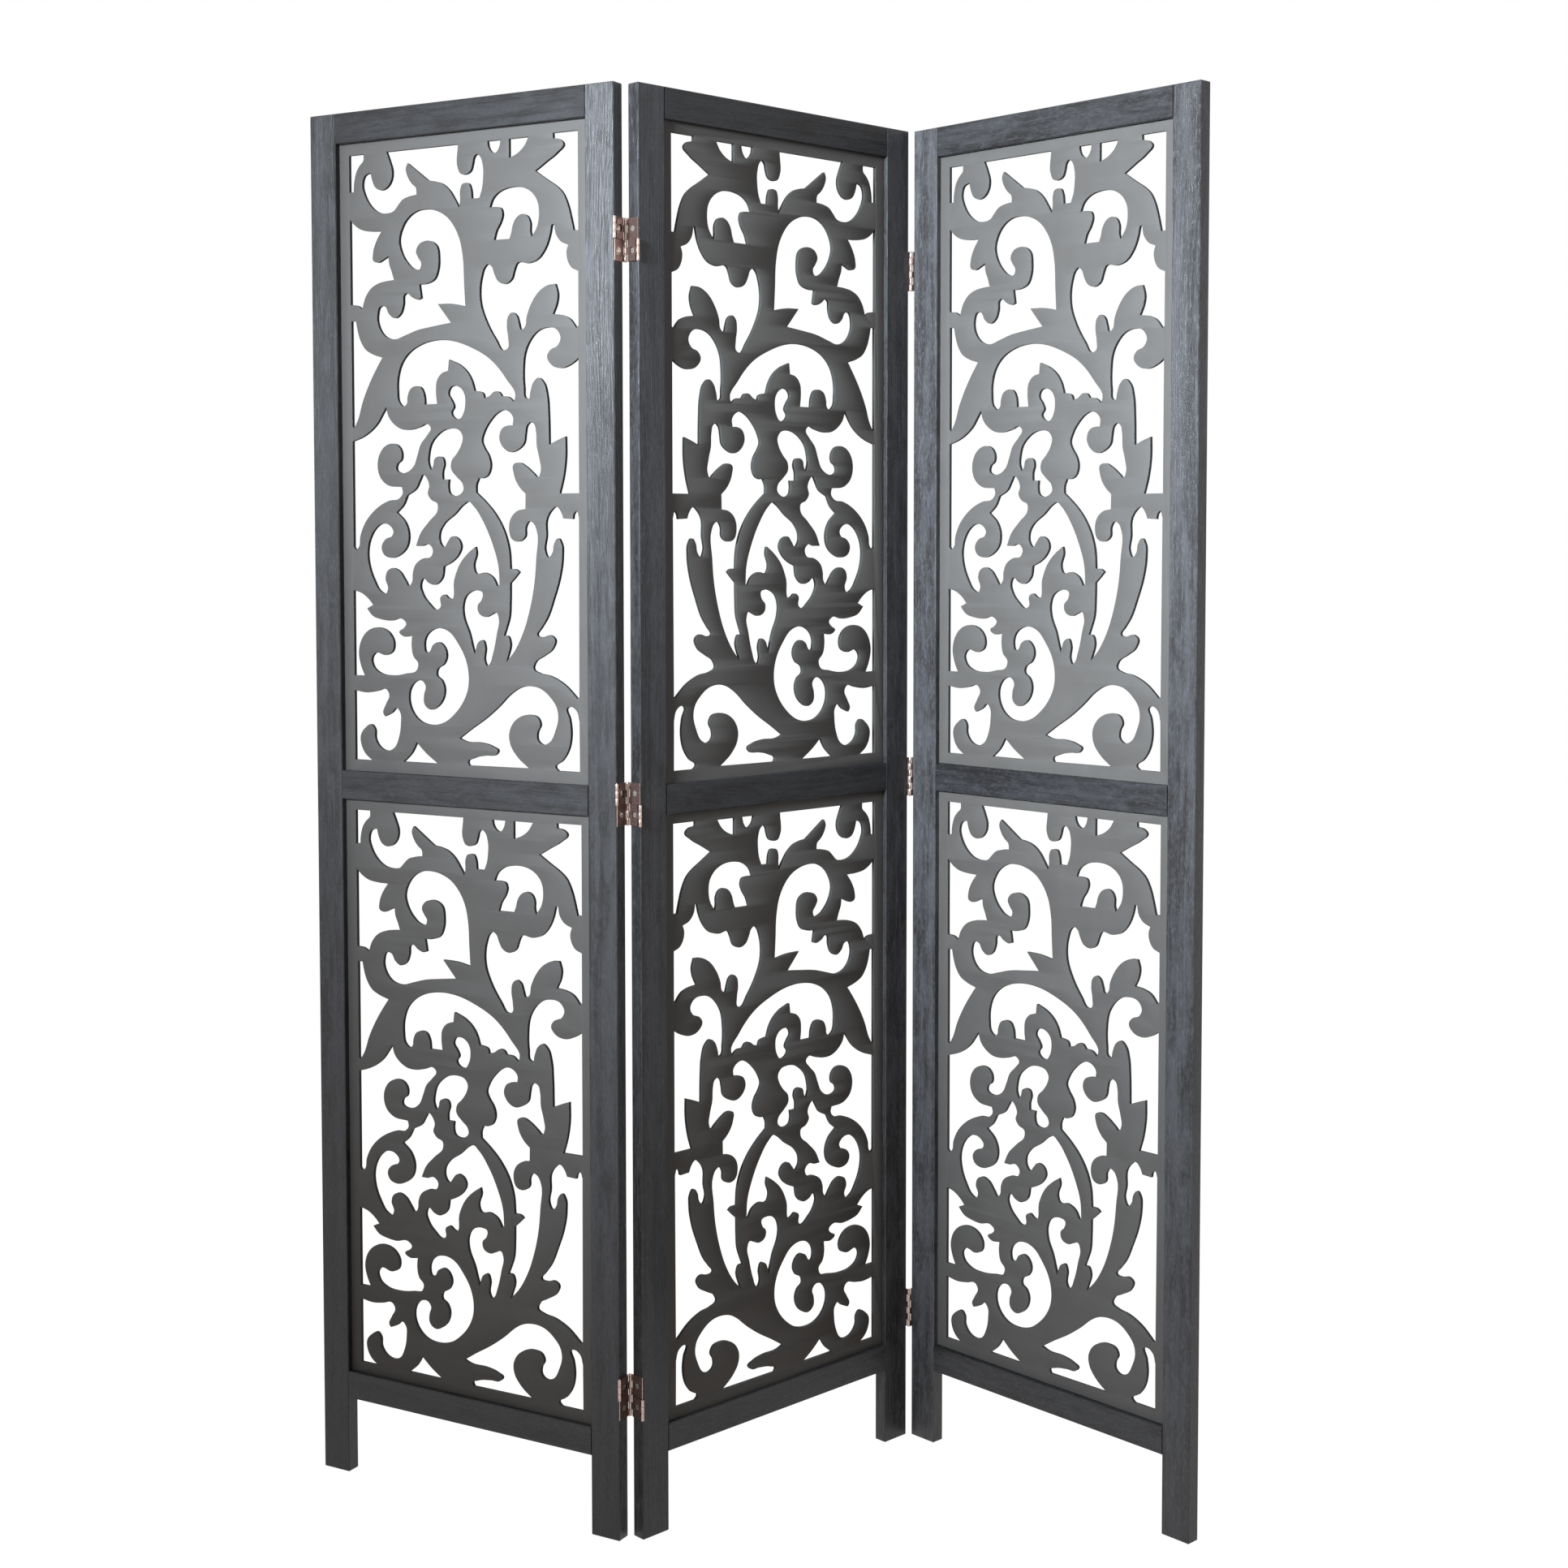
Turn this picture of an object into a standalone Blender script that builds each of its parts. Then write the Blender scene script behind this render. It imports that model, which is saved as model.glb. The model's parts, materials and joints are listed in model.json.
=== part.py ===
"""Three-panel folding screen with pierced scroll boards and two-way hinges.

Units are metres, +Z is up, and the screen stands on Z = 0 as it is photographed:
the left and middle panels fold into a ridge, the middle and right panels into a valley.
All panels are drawn in one flat row first, and the fold empties then turn them.
"""
import math

import bmesh
import bpy
import numpy as np
from mathutils import Matrix, Vector

# Panel frame
PANEL_HEIGHT = 1.700
PANEL_WIDTH = 0.450
PANEL_THICKNESS = 0.018
STILE_WIDTH = 0.040
LEG_HEIGHT = 0.0955
BOTTOM_RAIL_HEIGHT = 0.034
MIDDLE_RAIL_HEIGHT = 0.036
TOP_RAIL_HEIGHT = 0.037
LOWER_OPENING_HEIGHT = 0.726
ARRIS_WIDTH = 0.0010
FIT_GAP = 0.0003

# Joinery and boards
BOARD_THICKNESS = 0.0045
BOARD_RECESS = 0.0077
BOARD_EDGE_CLEARANCE = 0.0008
GROOVE_DEPTH = 0.008
TENON_SHOULDER_WIDTH = 0.005
TENON_END_CLEARANCE = 0.0008
CUT_OVERRUN = 0.004

# Two-way hinges
PANEL_GAP = 0.0046
AXIS_OFFSET = 0.0023
HINGE_HEIGHT = 0.050
HINGE_LOW_HEIGHT = 0.170
HINGE_MIDDLE_OFFSET = 0.0155
HINGE_TOP_OFFSET = 0.178
LEAF_THICKNESS = 0.0009
KNUCKLE_BITE_DEPTH = 0.00005
KNUCKLE_GAP = 0.0003
KNUCKLES = 6
KNUCKLE_SIDES = 6
PIN_RADIUS = 0.0009
BORE_CLEARANCE = 0.0003
STRAP_THICKNESS = 0.0009
TONGUE_LENGTH = 0.0048
SCREW_HOLE_RADIUS = 0.0042

# Angles in degrees under which a round surface is shaded smooth
BOARD_SMOOTH_ANGLE = 50.0
HINGE_SMOOTH_ANGLE = 65.0

# Folds in degrees from the flat row
LEFT_FOLD_ANGLE = 72.98
RIGHT_FOLD_ANGLE = 90.41
MIDDLE_TURN_ANGLE = 44.75

# Scroll pattern
CURVE_STEPS = 6
OUTLINE_TOLERANCE = 0.005
TIP_TURN_ANGLE = 90.0
WELD = 0.00005
SHARE_RATIO = 0.001
PATTERN_CENTRE_RATIOS = (0.512, 0.5015)

# Each opening of a board, as thousandths of its light opening's width from the left and height from the
# top. A third value of 1 marks a sharp corner, and the other points lie on a smooth curve.
PATTERN_SHARES = {
    "top_left_slot": (
        (53, 20, 1), (114, 20, 1), (113, 30), (98, 37), (84, 46), (76, 57), (72, 68), (71, 78, 1),
        (53, 78, 1)),
    "crest_and_hook": (
        (210, 20, 1), (504, 20, 1), (504, 58), (513, 65), (533, 67), (552, 63), (562, 52), (568, 42),
        (579, 38), (592, 42), (603, 56), (604, 75), (598, 93), (588, 105, 1), (558, 105, 1), (553, 88),
        (545, 81), (533, 80), (519, 82), (513, 88), (511, 108), (507, 117, 1), (490, 104), (468, 89),
        (440, 78), (410, 73), (383, 71, 1), (298, 41, 1), (291, 48), (298, 62), (314, 73), (332, 81),
        (334, 91, 1),
        (300, 93), (275, 97), (257, 105), (240, 113), (208, 116), (170, 112), (140, 101), (118, 85),
        (108, 67), (118, 54), (143, 50, 1), (151, 64), (163, 74), (187, 79), (212, 75), (230, 63),
        (233, 50), (224, 36)),
    "top_drop": (
        (622, 20, 1), (674, 20, 1), (668, 31), (652, 39), (636, 36), (625, 28)),
    "top_wedge": (
        (707, 20, 1), (783, 20, 1), (766, 33), (743, 42), (707, 49, 1)),
    "top_right_flag": (
        (877, 18, 1), (972, 18, 1), (972, 166, 1), (954, 166, 1), (944, 146), (930, 124), (911, 107),
        (888, 97), (852, 86), (808, 72, 1), (850, 60), (892, 48), (917, 35), (905, 29), (878, 26, 1)),
    "arch": (
        (629, 121, 1), (640, 109), (665, 99), (700, 94), (730, 93), (765, 96), (797, 105), (817, 119),
        (822, 135), (815, 155), (793, 171, 1), (788, 163), (787, 148), (775, 138), (756, 135), (736, 139),
        (721, 149), (713, 163), (706, 171, 1), (645, 171, 1), (655, 157), (671, 145), (679, 131),
        (672, 123), (655, 121)),
    "left_bud": (
        (54, 121, 1), (75, 131), (105, 139), (140, 142), (187, 143, 1), (165, 158), (151, 175), (152, 189),
        (170, 192), (193, 188), (215, 183, 1), (218, 196), (228, 208), (237, 221, 1), (205, 222),
        (170, 225), (140, 232), (117, 245), (102, 264, 1), (84, 258), (54, 256, 1)),
    "heart": (
        (370, 115), (415, 119), (455, 129), (487, 146), (508, 166), (520, 192), (525, 235), (529, 269, 1),
        (475, 264), (417, 263, 1), (440, 276), (470, 293, 1), (400, 297), (330, 302), (280, 309),
        (240, 314), (200, 309), (174, 295), (166, 276), (180, 261), (199, 262), (215, 274), (240, 281),
        (262, 275), (275, 260), (280, 245), (290, 243), (312, 250), (338, 254), (349, 252, 1),
        (342, 231, 1), (375, 230), (404, 224), (419, 209), (422, 192), (413, 172), (392, 165), (365, 164),
        (341, 169), (330, 179), (340, 190), (351, 198), (344, 207), (322, 206), (292, 195), (268, 177),
        (260, 160), (270, 143), (297, 126), (332, 117)),
    "right_leaves": (
        (620, 207), (606, 212), (594, 226), (587, 248), (591, 268), (610, 292), (650, 323), (680, 340),
        (697, 337), (699, 322), (694, 303), (700, 288), (714, 283), (730, 287), (741, 300), (750, 310),
        (763, 307), (772, 290), (790, 271), (822, 253), (855, 245), (883, 244, 1), (892, 260), (888, 273),
        (873, 289, 1), (905, 291), (936, 297), (963, 312, 1), (971, 308, 1), (971, 227, 1), (945, 221),
        (930, 209), (927, 196), (933, 187, 1), (905, 181), (886, 169), (880, 154, 1), (870, 155, 1),
        (860, 174), (843, 191), (815, 205), (780, 210), (735, 209), (724, 219), (712, 233), (686, 239),
        (660, 234), (645, 222), (635, 211)),
    "left_blade": (
        (56, 282, 1), (75, 282, 1), (81, 296), (93, 313), (115, 328), (145, 336), (185, 342, 1),
        (160, 359), (130, 382), (100, 411), (80, 438), (63, 452, 1), (56, 449, 1)),
    "crescent": (
        (275, 420), (256, 415), (247, 395), (249, 375), (265, 353), (295, 337), (350, 324), (415, 319),
        (480, 322), (550, 333), (625, 352), (690, 384), (725, 412), (718, 419, 1), (697, 411),
        (672, 410, 1), (660, 403), (645, 402), (622, 409), (602, 412, 1), (596, 404), (580, 401),
        (563, 400, 1), (552, 384), (533, 370), (505, 359), (461, 350, 1), (457, 367, 1), (430, 371),
        (411, 382), (407, 398), (411, 418, 1), (361, 418, 1), (356, 401), (343, 391), (322, 389),
        (302, 393), (289, 406), (286, 416)),
    "bean": (
        (485, 391), (508, 395), (523, 405), (526, 417), (519, 433), (504, 442), (487, 442), (469, 432),
        (479, 424), (470, 413), (457, 403), (467, 393)),
    "small_flame": (
        (475, 457), (500, 460), (514, 470), (508, 483), (490, 496), (468, 508), (466, 519), (490, 533),
        (512, 543), (516, 552), (500, 560), (480, 562), (460, 558), (454, 548), (456, 536, 1),
        (431, 536, 1), (431, 524), (438, 511), (431, 502), (415, 500), (400, 503), (393, 514), (385, 520),
        (375, 513), (375, 495), (385, 480), (405, 469), (440, 459)),
    "right_hook": (
        (845, 309), (812, 314), (785, 326), (766, 342), (757, 370), (759, 398), (765, 414), (776, 416),
        (784, 405), (797, 390), (815, 384), (835, 391), (849, 411), (854, 440), (856, 486, 1), (885, 480),
        (919, 474, 1), (919, 505), (909, 537), (895, 560, 1), (970, 560, 1), (970, 357, 1), (945, 365),
        (905, 371), (868, 366), (850, 352), (862, 343), (890, 337), (902, 326), (888, 313)),
    "left_wave": (
        (56, 473, 1), (95, 467), (130, 458), (162, 445), (183, 431), (199, 420, 1), (210, 436),
        (233, 448), (265, 456), (300, 457), (340, 453), (372, 449), (384, 455), (368, 467), (343, 480),
        (328, 498), (313, 514), (288, 523), (262, 525), (240, 519), (243, 511), (260, 504), (262, 492),
        (246, 481), (218, 478), (190, 483), (168, 496), (161, 512), (173, 532), (200, 543), (262, 547, 1),
        (266, 556), (250, 565), (210, 568), (170, 576), (132, 589), (103, 605), (84, 625), (77, 642),
        (65, 646), (56, 642, 1)),
    "left_flourish": (
        (350, 528), (368, 535), (376, 545), (370, 558), (385, 568), (409, 574), (410, 583), (375, 601),
        (338, 620), (319, 640, 1), (345, 640), (370, 637), (389, 647), (382, 656), (345, 660), (315, 670),
        (305, 682), (301, 697), (289, 703), (272, 694), (248, 680), (220, 675), (198, 680), (190, 692),
        (200, 708), (190, 716), (170, 713), (140, 694), (119, 669), (115, 648), (128, 626), (150, 612),
        (175, 605), (208, 607), (225, 618), (218, 625, 1), (190, 630), (175, 641), (183, 653), (212, 659),
        (252, 654), (281, 641), (289, 623), (274, 602), (240, 587, 1), (266, 576), (284, 560, 1),
        (320, 550), (338, 536)),
    "long_stem": (
        (680, 431), (655, 435), (625, 447), (600, 464), (591, 478), (600, 488), (617, 500), (625, 517),
        (610, 532), (595, 535), (577, 535, 1), (567, 546), (567, 557, 1), (605, 572), (645, 592),
        (680, 620), (696, 645), (701, 675, 1), (725, 676), (736, 680, 1), (720, 688), (700, 697, 1),
        (699, 725), (695, 750), (683, 767), (674, 778, 1), (690, 779), (697, 785), (683, 819, 1),
        (715, 802), (750, 773), (778, 735), (795, 698), (803, 660), (805, 615), (795, 606), (777, 602),
        (763, 610), (759, 626), (735, 633), (710, 630), (697, 613), (706, 596), (730, 586), (762, 583, 1),
        (763, 560, 1), (740, 550), (717, 529), (716, 515), (738, 512), (765, 518), (795, 529), (812, 535),
        (822, 527), (818, 507), (808, 488), (805, 465), (798, 454), (784, 451), (770, 456), (764, 467),
        (757, 483), (735, 492), (706, 496), (675, 488), (661, 473), (673, 459), (695, 455), (714, 455, 1),
        (716, 443), (700, 434)),
    "right_sail": (
        (882, 580), (862, 586), (846, 597), (843, 625), (838, 648), (850, 657), (866, 650), (873, 636),
        (888, 628), (901, 636), (904, 655), (893, 688), (870, 720), (841, 752), (821, 765), (806, 777),
        (825, 779), (858, 776), (874, 782), (865, 796), (830, 808), (797, 818), (790, 828), (812, 834),
        (855, 838), (908, 850), (959, 871, 1), (967, 869, 1), (969, 597, 1), (959, 587), (949, 591),
        (945, 599, 1), (909, 598, 1), (900, 588)),
    "centre_petal": (
        (536, 571), (556, 578), (597, 604), (632, 638), (654, 671), (658, 700, 1), (648, 702, 1),
        (632, 689), (600, 681), (563, 682), (555, 672), (566, 650), (562, 641, 1), (535, 650), (500, 667),
        (475, 693), (462, 723), (450, 721), (435, 716), (419, 720), (418, 736), (405, 740), (370, 730),
        (345, 716), (336, 701), (348, 691), (370, 698), (395, 701), (424, 691), (433, 672, 1), (465, 665),
        (492, 654), (504, 641), (493, 629), (467, 625), (449, 634), (434, 642), (419, 635), (417, 619),
        (432, 607), (480, 590), (517, 575)),
    "tulip": (
        (572, 709), (589, 712), (586, 723), (570, 732), (573, 743), (603, 750), (625, 746), (645, 743),
        (654, 752), (646, 775), (628, 809), (617, 822), (606, 826), (597, 820), (598, 795), (588, 786),
        (570, 790), (562, 799), (556, 809, 1), (549, 799), (535, 776), (513, 751), (510, 733), (522, 718),
        (543, 711)),
    "left_curl": (
        (54, 711, 1), (90, 716), (120, 726), (136, 734, 1), (110, 740, 1), (135, 752), (170, 757),
        (210, 759), (260, 756), (275, 763), (262, 771), (246, 776), (262, 783), (299, 782, 1), (297, 798),
        (305, 815), (324, 826), (318, 836), (275, 842), (215, 846), (165, 843), (135, 833), (128, 820),
        (143, 811), (190, 814), (217, 807), (222, 794), (205, 779), (160, 770), (115, 775), (84, 791),
        (73, 811), (82, 832), (98, 848, 1), (54, 848, 1)),
    "c_scroll": (
        (415, 769), (455, 775), (490, 793), (518, 815), (531, 840), (528, 862), (510, 882), (475, 902),
        (430, 917), (380, 922), (335, 918), (300, 904), (284, 884), (290, 866), (315, 854), (340, 853),
        (354, 861), (347, 875), (349, 890), (372, 898), (405, 892), (427, 878), (431, 863), (420, 851),
        (400, 843), (403, 834), (430, 825), (441, 813), (433, 799), (410, 791), (385, 796), (372, 806),
        (358, 808), (350, 798), (357, 783), (380, 773)),
    "bottom_left_leaf": (
        (54, 872, 1), (110, 875), (150, 872), (190, 869), (201, 877), (187, 892), (175, 907),
        (182, 912, 1), (210, 906), (234, 898), (247, 905), (249, 922), (240, 945), (222, 961), (192, 967),
        (160, 962), (140, 949), (137, 933), (123, 926), (97, 932), (78, 944), (80, 959), (96, 973),
        (127, 984, 1), (54, 984, 1)),
    "bottom_peak": (
        (260, 983, 1), (292, 969), (315, 951, 1), (350, 966), (402, 983, 1)),
    "bottom_scroll": (
        (492, 941, 1), (535, 927), (595, 909), (650, 889), (700, 868), (738, 858), (775, 855), (815, 858),
        (855, 871), (880, 887), (885, 902), (875, 920), (850, 940), (825, 944), (804, 937), (804, 925),
        (815, 914), (805, 903), (775, 899), (740, 902), (708, 913), (692, 930), (697, 947), (722, 964),
        (770, 982, 1), (530, 983, 1), (525, 978), (550, 971), (600, 966), (640, 963), (647, 958),
        (625, 951), (580, 946), (515, 945)),
    "bottom_right_fin": (
        (920, 886), (936, 884), (956, 890), (967, 906, 1), (968, 983, 1), (884, 983, 1), (873, 978),
        (900, 967), (923, 951), (934, 928), (929, 903)),
}


def hinge_heights():
    """Middle of each of the three hinges above the floor."""
    middle_rail = opening_spans()["lower"][1]
    return (HINGE_LOW_HEIGHT, middle_rail + HINGE_MIDDLE_OFFSET, PANEL_HEIGHT - HINGE_TOP_OFFSET)


def front_axis_y():
    """Depth of the front pivot line, in front of the panel face."""
    return -AXIS_OFFSET


def back_axis_y():
    """Depth of the back pivot line, behind the panel."""
    return PANEL_THICKNESS + AXIS_OFFSET


def opening_spans():
    """Bottom and top of the lower and the upper light opening."""
    lower_bottom = LEG_HEIGHT + BOTTOM_RAIL_HEIGHT
    lower_top = lower_bottom + LOWER_OPENING_HEIGHT
    upper_bottom = lower_top + MIDDLE_RAIL_HEIGHT
    upper_top = PANEL_HEIGHT - TOP_RAIL_HEIGHT
    return {"lower": (lower_bottom, lower_top), "upper": (upper_bottom, upper_top)}


def groove_span_y():
    """Front and back wall of the groove that holds boards and tenons."""
    front = BOARD_RECESS - FIT_GAP
    back = BOARD_RECESS + BOARD_THICKNESS + FIT_GAP
    return front, back


def clear_scene():
    """Empties the scene before the screen is built."""
    for old in list(bpy.data.objects):
        bpy.data.objects.remove(old, do_unlink=True)


def make_material(name, colour, roughness, metallic):
    """A Principled BSDF material with the photographed colour."""
    material = bpy.data.materials.new(name)
    material.use_nodes = True
    shader = material.node_tree.nodes["Principled BSDF"]
    shader.inputs["Base Color"].default_value = (colour[0], colour[1], colour[2], 1.0)
    shader.inputs["Roughness"].default_value = roughness
    shader.inputs["Metallic"].default_value = metallic
    material.diffuse_color = (colour[0], colour[1], colour[2], 1.0)
    return material


def add_object(name, bm, material, parent, smooth_angle=0.0):
    """Turns a bmesh into a named object under its empty; rounds are shaded smooth up to an angle."""
    bmesh.ops.recalc_face_normals(bm, faces=bm.faces)
    mesh = bpy.data.meshes.new(name)
    bm.to_mesh(mesh)
    bm.free()
    mesh.materials.append(material)
    if smooth_angle:
        mesh.shade_smooth()
        mesh.set_sharp_from_angle(angle=math.radians(smooth_angle))
    item = bpy.data.objects.new(name, mesh)
    bpy.context.scene.collection.objects.link(item)
    item.parent = parent
    return item


def add_empty(name, location, turn, parent):
    """An empty on a pivot line, turned about Z by degrees."""
    empty = bpy.data.objects.new(name, None)
    bpy.context.scene.collection.objects.link(empty)
    empty.location = location
    empty.rotation_euler = (0.0, 0.0, math.radians(turn))
    empty.parent = parent
    return empty


def block(low, high):
    """A bmesh box between two corners."""
    bm = bmesh.new()
    bmesh.ops.create_cube(bm, size=1.0)
    low = Vector(low)
    high = Vector(high)
    bmesh.ops.scale(bm, vec=high - low, verts=bm.verts)
    bmesh.ops.translate(bm, vec=(low + high) / 2.0, verts=bm.verts)
    return bm


def add_cutter(item, bm, operation, smooth_angle=0.0):
    """Gives an object an exact Boolean with a hidden wire operand."""
    name = item.name + "_" + operation.lower()
    cutter = add_object(name, bm, item.data.materials[0], item.parent, smooth_angle)
    cutter.hide_render = True
    cutter.display_type = "WIRE"
    modifier = item.modifiers.new(operation.lower(), "BOOLEAN")
    modifier.object = cutter
    modifier.operation = operation
    modifier.solver = "EXACT"
    return cutter


def join_blocks(spans):
    """Several separate boxes in one bmesh."""
    joined = bmesh.new()
    for low, high in spans:
        piece = block(low, high)
        scratch = bpy.data.meshes.new("span")
        piece.to_mesh(scratch)
        piece.free()
        joined.from_mesh(scratch)
        bpy.data.meshes.remove(scratch)
    return joined


def ease_edges(bm, axis_index):
    """Breaks the long edges that run along one axis with a narrow arris."""
    edges = []
    for edge in bm.edges:
        run = edge.verts[1].co - edge.verts[0].co
        if abs(run[axis_index]) > max(abs(run[(axis_index + 1) % 3]), abs(run[(axis_index + 2) % 3])):
            edges.append(edge)
    bmesh.ops.bevel(bm, geom=edges, offset=ARRIS_WIDTH, offset_type="OFFSET", segments=1, profile=0.5,
                    affect="EDGES", material=-1)
    return bm


def turned(bm, is_turned, left):
    """Turns a panel piece half round about the panel's own middle, for a panel set back to front."""
    if is_turned:
        middle = Vector((left + PANEL_WIDTH / 2.0, PANEL_THICKNESS / 2.0, 0.0))
        half_turn = Matrix.Rotation(math.pi, 3, "Z")
        bmesh.ops.rotate(bm, cent=middle, matrix=half_turn, verts=bm.verts)
    return bm


def moved_to_parent(bm, offset):
    """Takes flat-row places to places about the pivot that carries the piece."""
    bmesh.ops.translate(bm, vec=-Vector(offset), verts=bm.verts)
    return bm


def stile_groove(left, inner_is_right):
    """Cutter for the stopped groove in a stile's inner edge."""
    front, back = groove_span_y()
    low = LEG_HEIGHT + TENON_SHOULDER_WIDTH - FIT_GAP
    high = PANEL_HEIGHT - TENON_SHOULDER_WIDTH + FIT_GAP
    if inner_is_right:
        x_low = left + STILE_WIDTH - GROOVE_DEPTH
        x_high = left + STILE_WIDTH + CUT_OVERRUN
    else:
        x_low = left - CUT_OVERRUN
        x_high = left + GROOVE_DEPTH
    return block((x_low, front, low), (x_high, back, high))


def build_stile(name, panel, left, inner_is_right):
    """A stile with eased edges, a rounded top and the groove for rails and boards."""
    bm = block((left, 0.0, 0.0), (left + STILE_WIDTH, PANEL_THICKNESS, PANEL_HEIGHT))
    bmesh.ops.bevel(bm, geom=bm.edges[:], offset=ARRIS_WIDTH, offset_type="OFFSET", segments=1, profile=0.5,
                    affect="EDGES", material=-1)
    groove = stile_groove(left, inner_is_right)
    for part in (bm, groove):
        turned(part, panel["is_turned"], panel["left"])
        moved_to_parent(part, panel["pivot"])
    item = add_object(name, bm, panel["wood"], panel["parent"])
    add_cutter(item, groove, "DIFFERENCE")
    return item


def rail_cutters(left, right, low, high, grooves):
    """Cutter boxes for the board grooves along a rail."""
    front, back = groove_span_y()
    spans = []
    for side in grooves:
        if side == "top":
            z_low = high - GROOVE_DEPTH
            z_high = high + CUT_OVERRUN
        else:
            z_low = low - CUT_OVERRUN
            z_high = low + GROOVE_DEPTH
        spans.append(((left - CUT_OVERRUN, front, z_low), (right + CUT_OVERRUN, back, z_high)))
    return join_blocks(spans)


def tenon_span_z(low, high, grooves):
    """Bottom and top of a rail's tenons, kept clear of the grooves and the panel's ends."""
    tenon_low = low + (GROOVE_DEPTH if "bottom" in grooves else TENON_SHOULDER_WIDTH)
    tenon_high = high - (GROOVE_DEPTH if "top" in grooves else TENON_SHOULDER_WIDTH)
    return tenon_low, tenon_high


def build_rail(name, panel, low, high, grooves):
    """A rail with stub tenons at both ends and grooves for the boards."""
    left = panel["left"] + STILE_WIDTH + FIT_GAP
    right = panel["left"] + PANEL_WIDTH - STILE_WIDTH - FIT_GAP
    bm = ease_edges(block((left, 0.0, low), (right, PANEL_THICKNESS, high)), 0)
    reach = GROOVE_DEPTH - TENON_END_CLEARANCE
    tenon_low, tenon_high = tenon_span_z(low, high, grooves)
    tenons = block(
        (left - reach, BOARD_RECESS, tenon_low),
        (right + reach, BOARD_RECESS + BOARD_THICKNESS, tenon_high))
    cutter = rail_cutters(left - reach, right + reach, low, high, grooves)
    for part in (bm, tenons, cutter):
        turned(part, panel["is_turned"], panel["left"])
        moved_to_parent(part, panel["pivot"])
    item = add_object(name, bm, panel["wood"], panel["parent"])
    add_cutter(item, tenons, "UNION")
    add_cutter(item, cutter, "DIFFERENCE")
    return item


def pattern_points(shares, width, height):
    """Places of one opening's points, about the middle of the board's light opening."""
    places = []
    for share in shares:
        across = (share[0] * SHARE_RATIO - PATTERN_CENTRE_RATIOS[0]) * width
        up = (PATTERN_CENTRE_RATIOS[1] - share[1] * SHARE_RATIO) * height
        is_corner = len(share) > 2
        places.append((np.array((across, up)), is_corner))
    return places


def tangent_at(places, index):
    """Direction of the smooth curve through a point, weighted to the nearer neighbour."""
    before = places[index - 1][0]
    here = places[index][0]
    after = places[(index + 1) % len(places)][0]
    first = np.linalg.norm(here - before)
    second = np.linalg.norm(after - here)
    run = (here - before) * second / first + (after - here) * first / second
    return run / np.linalg.norm(run)


def curve_between(places, index):
    """Points of the cubic from one point up to the next, straight between two corners."""
    start, start_is_corner = places[index]
    next_index = (index + 1) % len(places)
    end, end_is_corner = places[next_index]
    if start_is_corner and end_is_corner:
        return [start]
    third = np.linalg.norm(end - start) / 3.0
    chord = (end - start) / 3.0
    start_arm = chord if start_is_corner else tangent_at(places, index) * third
    end_arm = chord if end_is_corner else tangent_at(places, next_index) * third
    points = []
    for step in range(CURVE_STEPS):
        t = step / CURVE_STEPS
        point = start * (1 - t) ** 3 + (start + start_arm) * 3 * t * (1 - t) ** 2
        point = point + (end - end_arm) * 3 * t ** 2 * (1 - t) + end * t ** 3
        points.append(point)
    return points


def thin_run(points, first, last, tolerance):
    """Indices of the points of a run that stand off its chords by more than the tolerance."""
    if last - first < 2:
        return [first]
    start = points[first]
    chord = points[last] - start
    length = max(np.linalg.norm(chord), WELD)
    away = points[first + 1:last] - start
    offsets = np.abs(chord[0] * away[:, 1] - chord[1] * away[:, 0]) / length
    widest = int(np.argmax(offsets))
    if offsets[widest] <= tolerance:
        return [first]
    split = first + 1 + widest
    return thin_run(points, first, split, tolerance) + thin_run(points, split, last, tolerance)


def straddle(points, kept):
    """Corners of the polygon, broken at the kept points, that lies closest to the curve on both sides."""
    steps = np.linalg.norm(np.diff(points, axis=0), axis=1)
    travel = np.concatenate(((0.0,), np.cumsum(steps)))
    weights = np.zeros((len(points) - 1, len(kept)))
    for corner, first in enumerate(kept):
        after = (corner + 1) % len(kept)
        last = kept[after] if after else len(points) - 1
        for index in range(first, last):
            along = (travel[index] - travel[first]) / (travel[last] - travel[first])
            weights[index, corner] += 1.0 - along
            weights[index, after] += along
    return hold_tips(np.linalg.lstsq(weights, points[:-1], rcond=None)[0], points[kept])


def hold_tips(fitted, on_curve):
    """Keeps the corners at sharp tips where the curve has them."""
    before = on_curve - np.roll(on_curve, 1, axis=0)
    after = np.roll(on_curve, -1, axis=0) - on_curve
    lengths = np.linalg.norm(before, axis=1) * np.linalg.norm(after, axis=1)
    straightness = np.sum(before * after, axis=1) / lengths
    is_tip = straightness < math.cos(math.radians(TIP_TURN_ANGLE))
    return np.where(is_tip[:, None], on_curve, fitted)


def opening_loop(shares, width, height, tolerance):
    """Outline of one opening in as few corners as the tolerance allows."""
    places = pattern_points(shares, width, height)
    points = []
    for index in range(len(places)):
        points.extend(curve_between(places, index))
    points = np.array(points + [points[0]])
    far = int(np.argmax(np.linalg.norm(points - points[0], axis=1)))
    kept = thin_run(points, 0, far, tolerance) + thin_run(points, far, len(points) - 1, tolerance)
    return straddle(points, kept)


def add_loop(bm, points, x_middle, z_middle, y):
    """A closed chain of edges at one depth."""
    verts = []
    for point in points:
        verts.append(bm.verts.new((x_middle + point[0], y, z_middle + point[1])))
    edges = []
    for index, vert in enumerate(verts):
        edges.append(bm.edges.new((verts[index - 1], vert)))
    return edges


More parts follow.
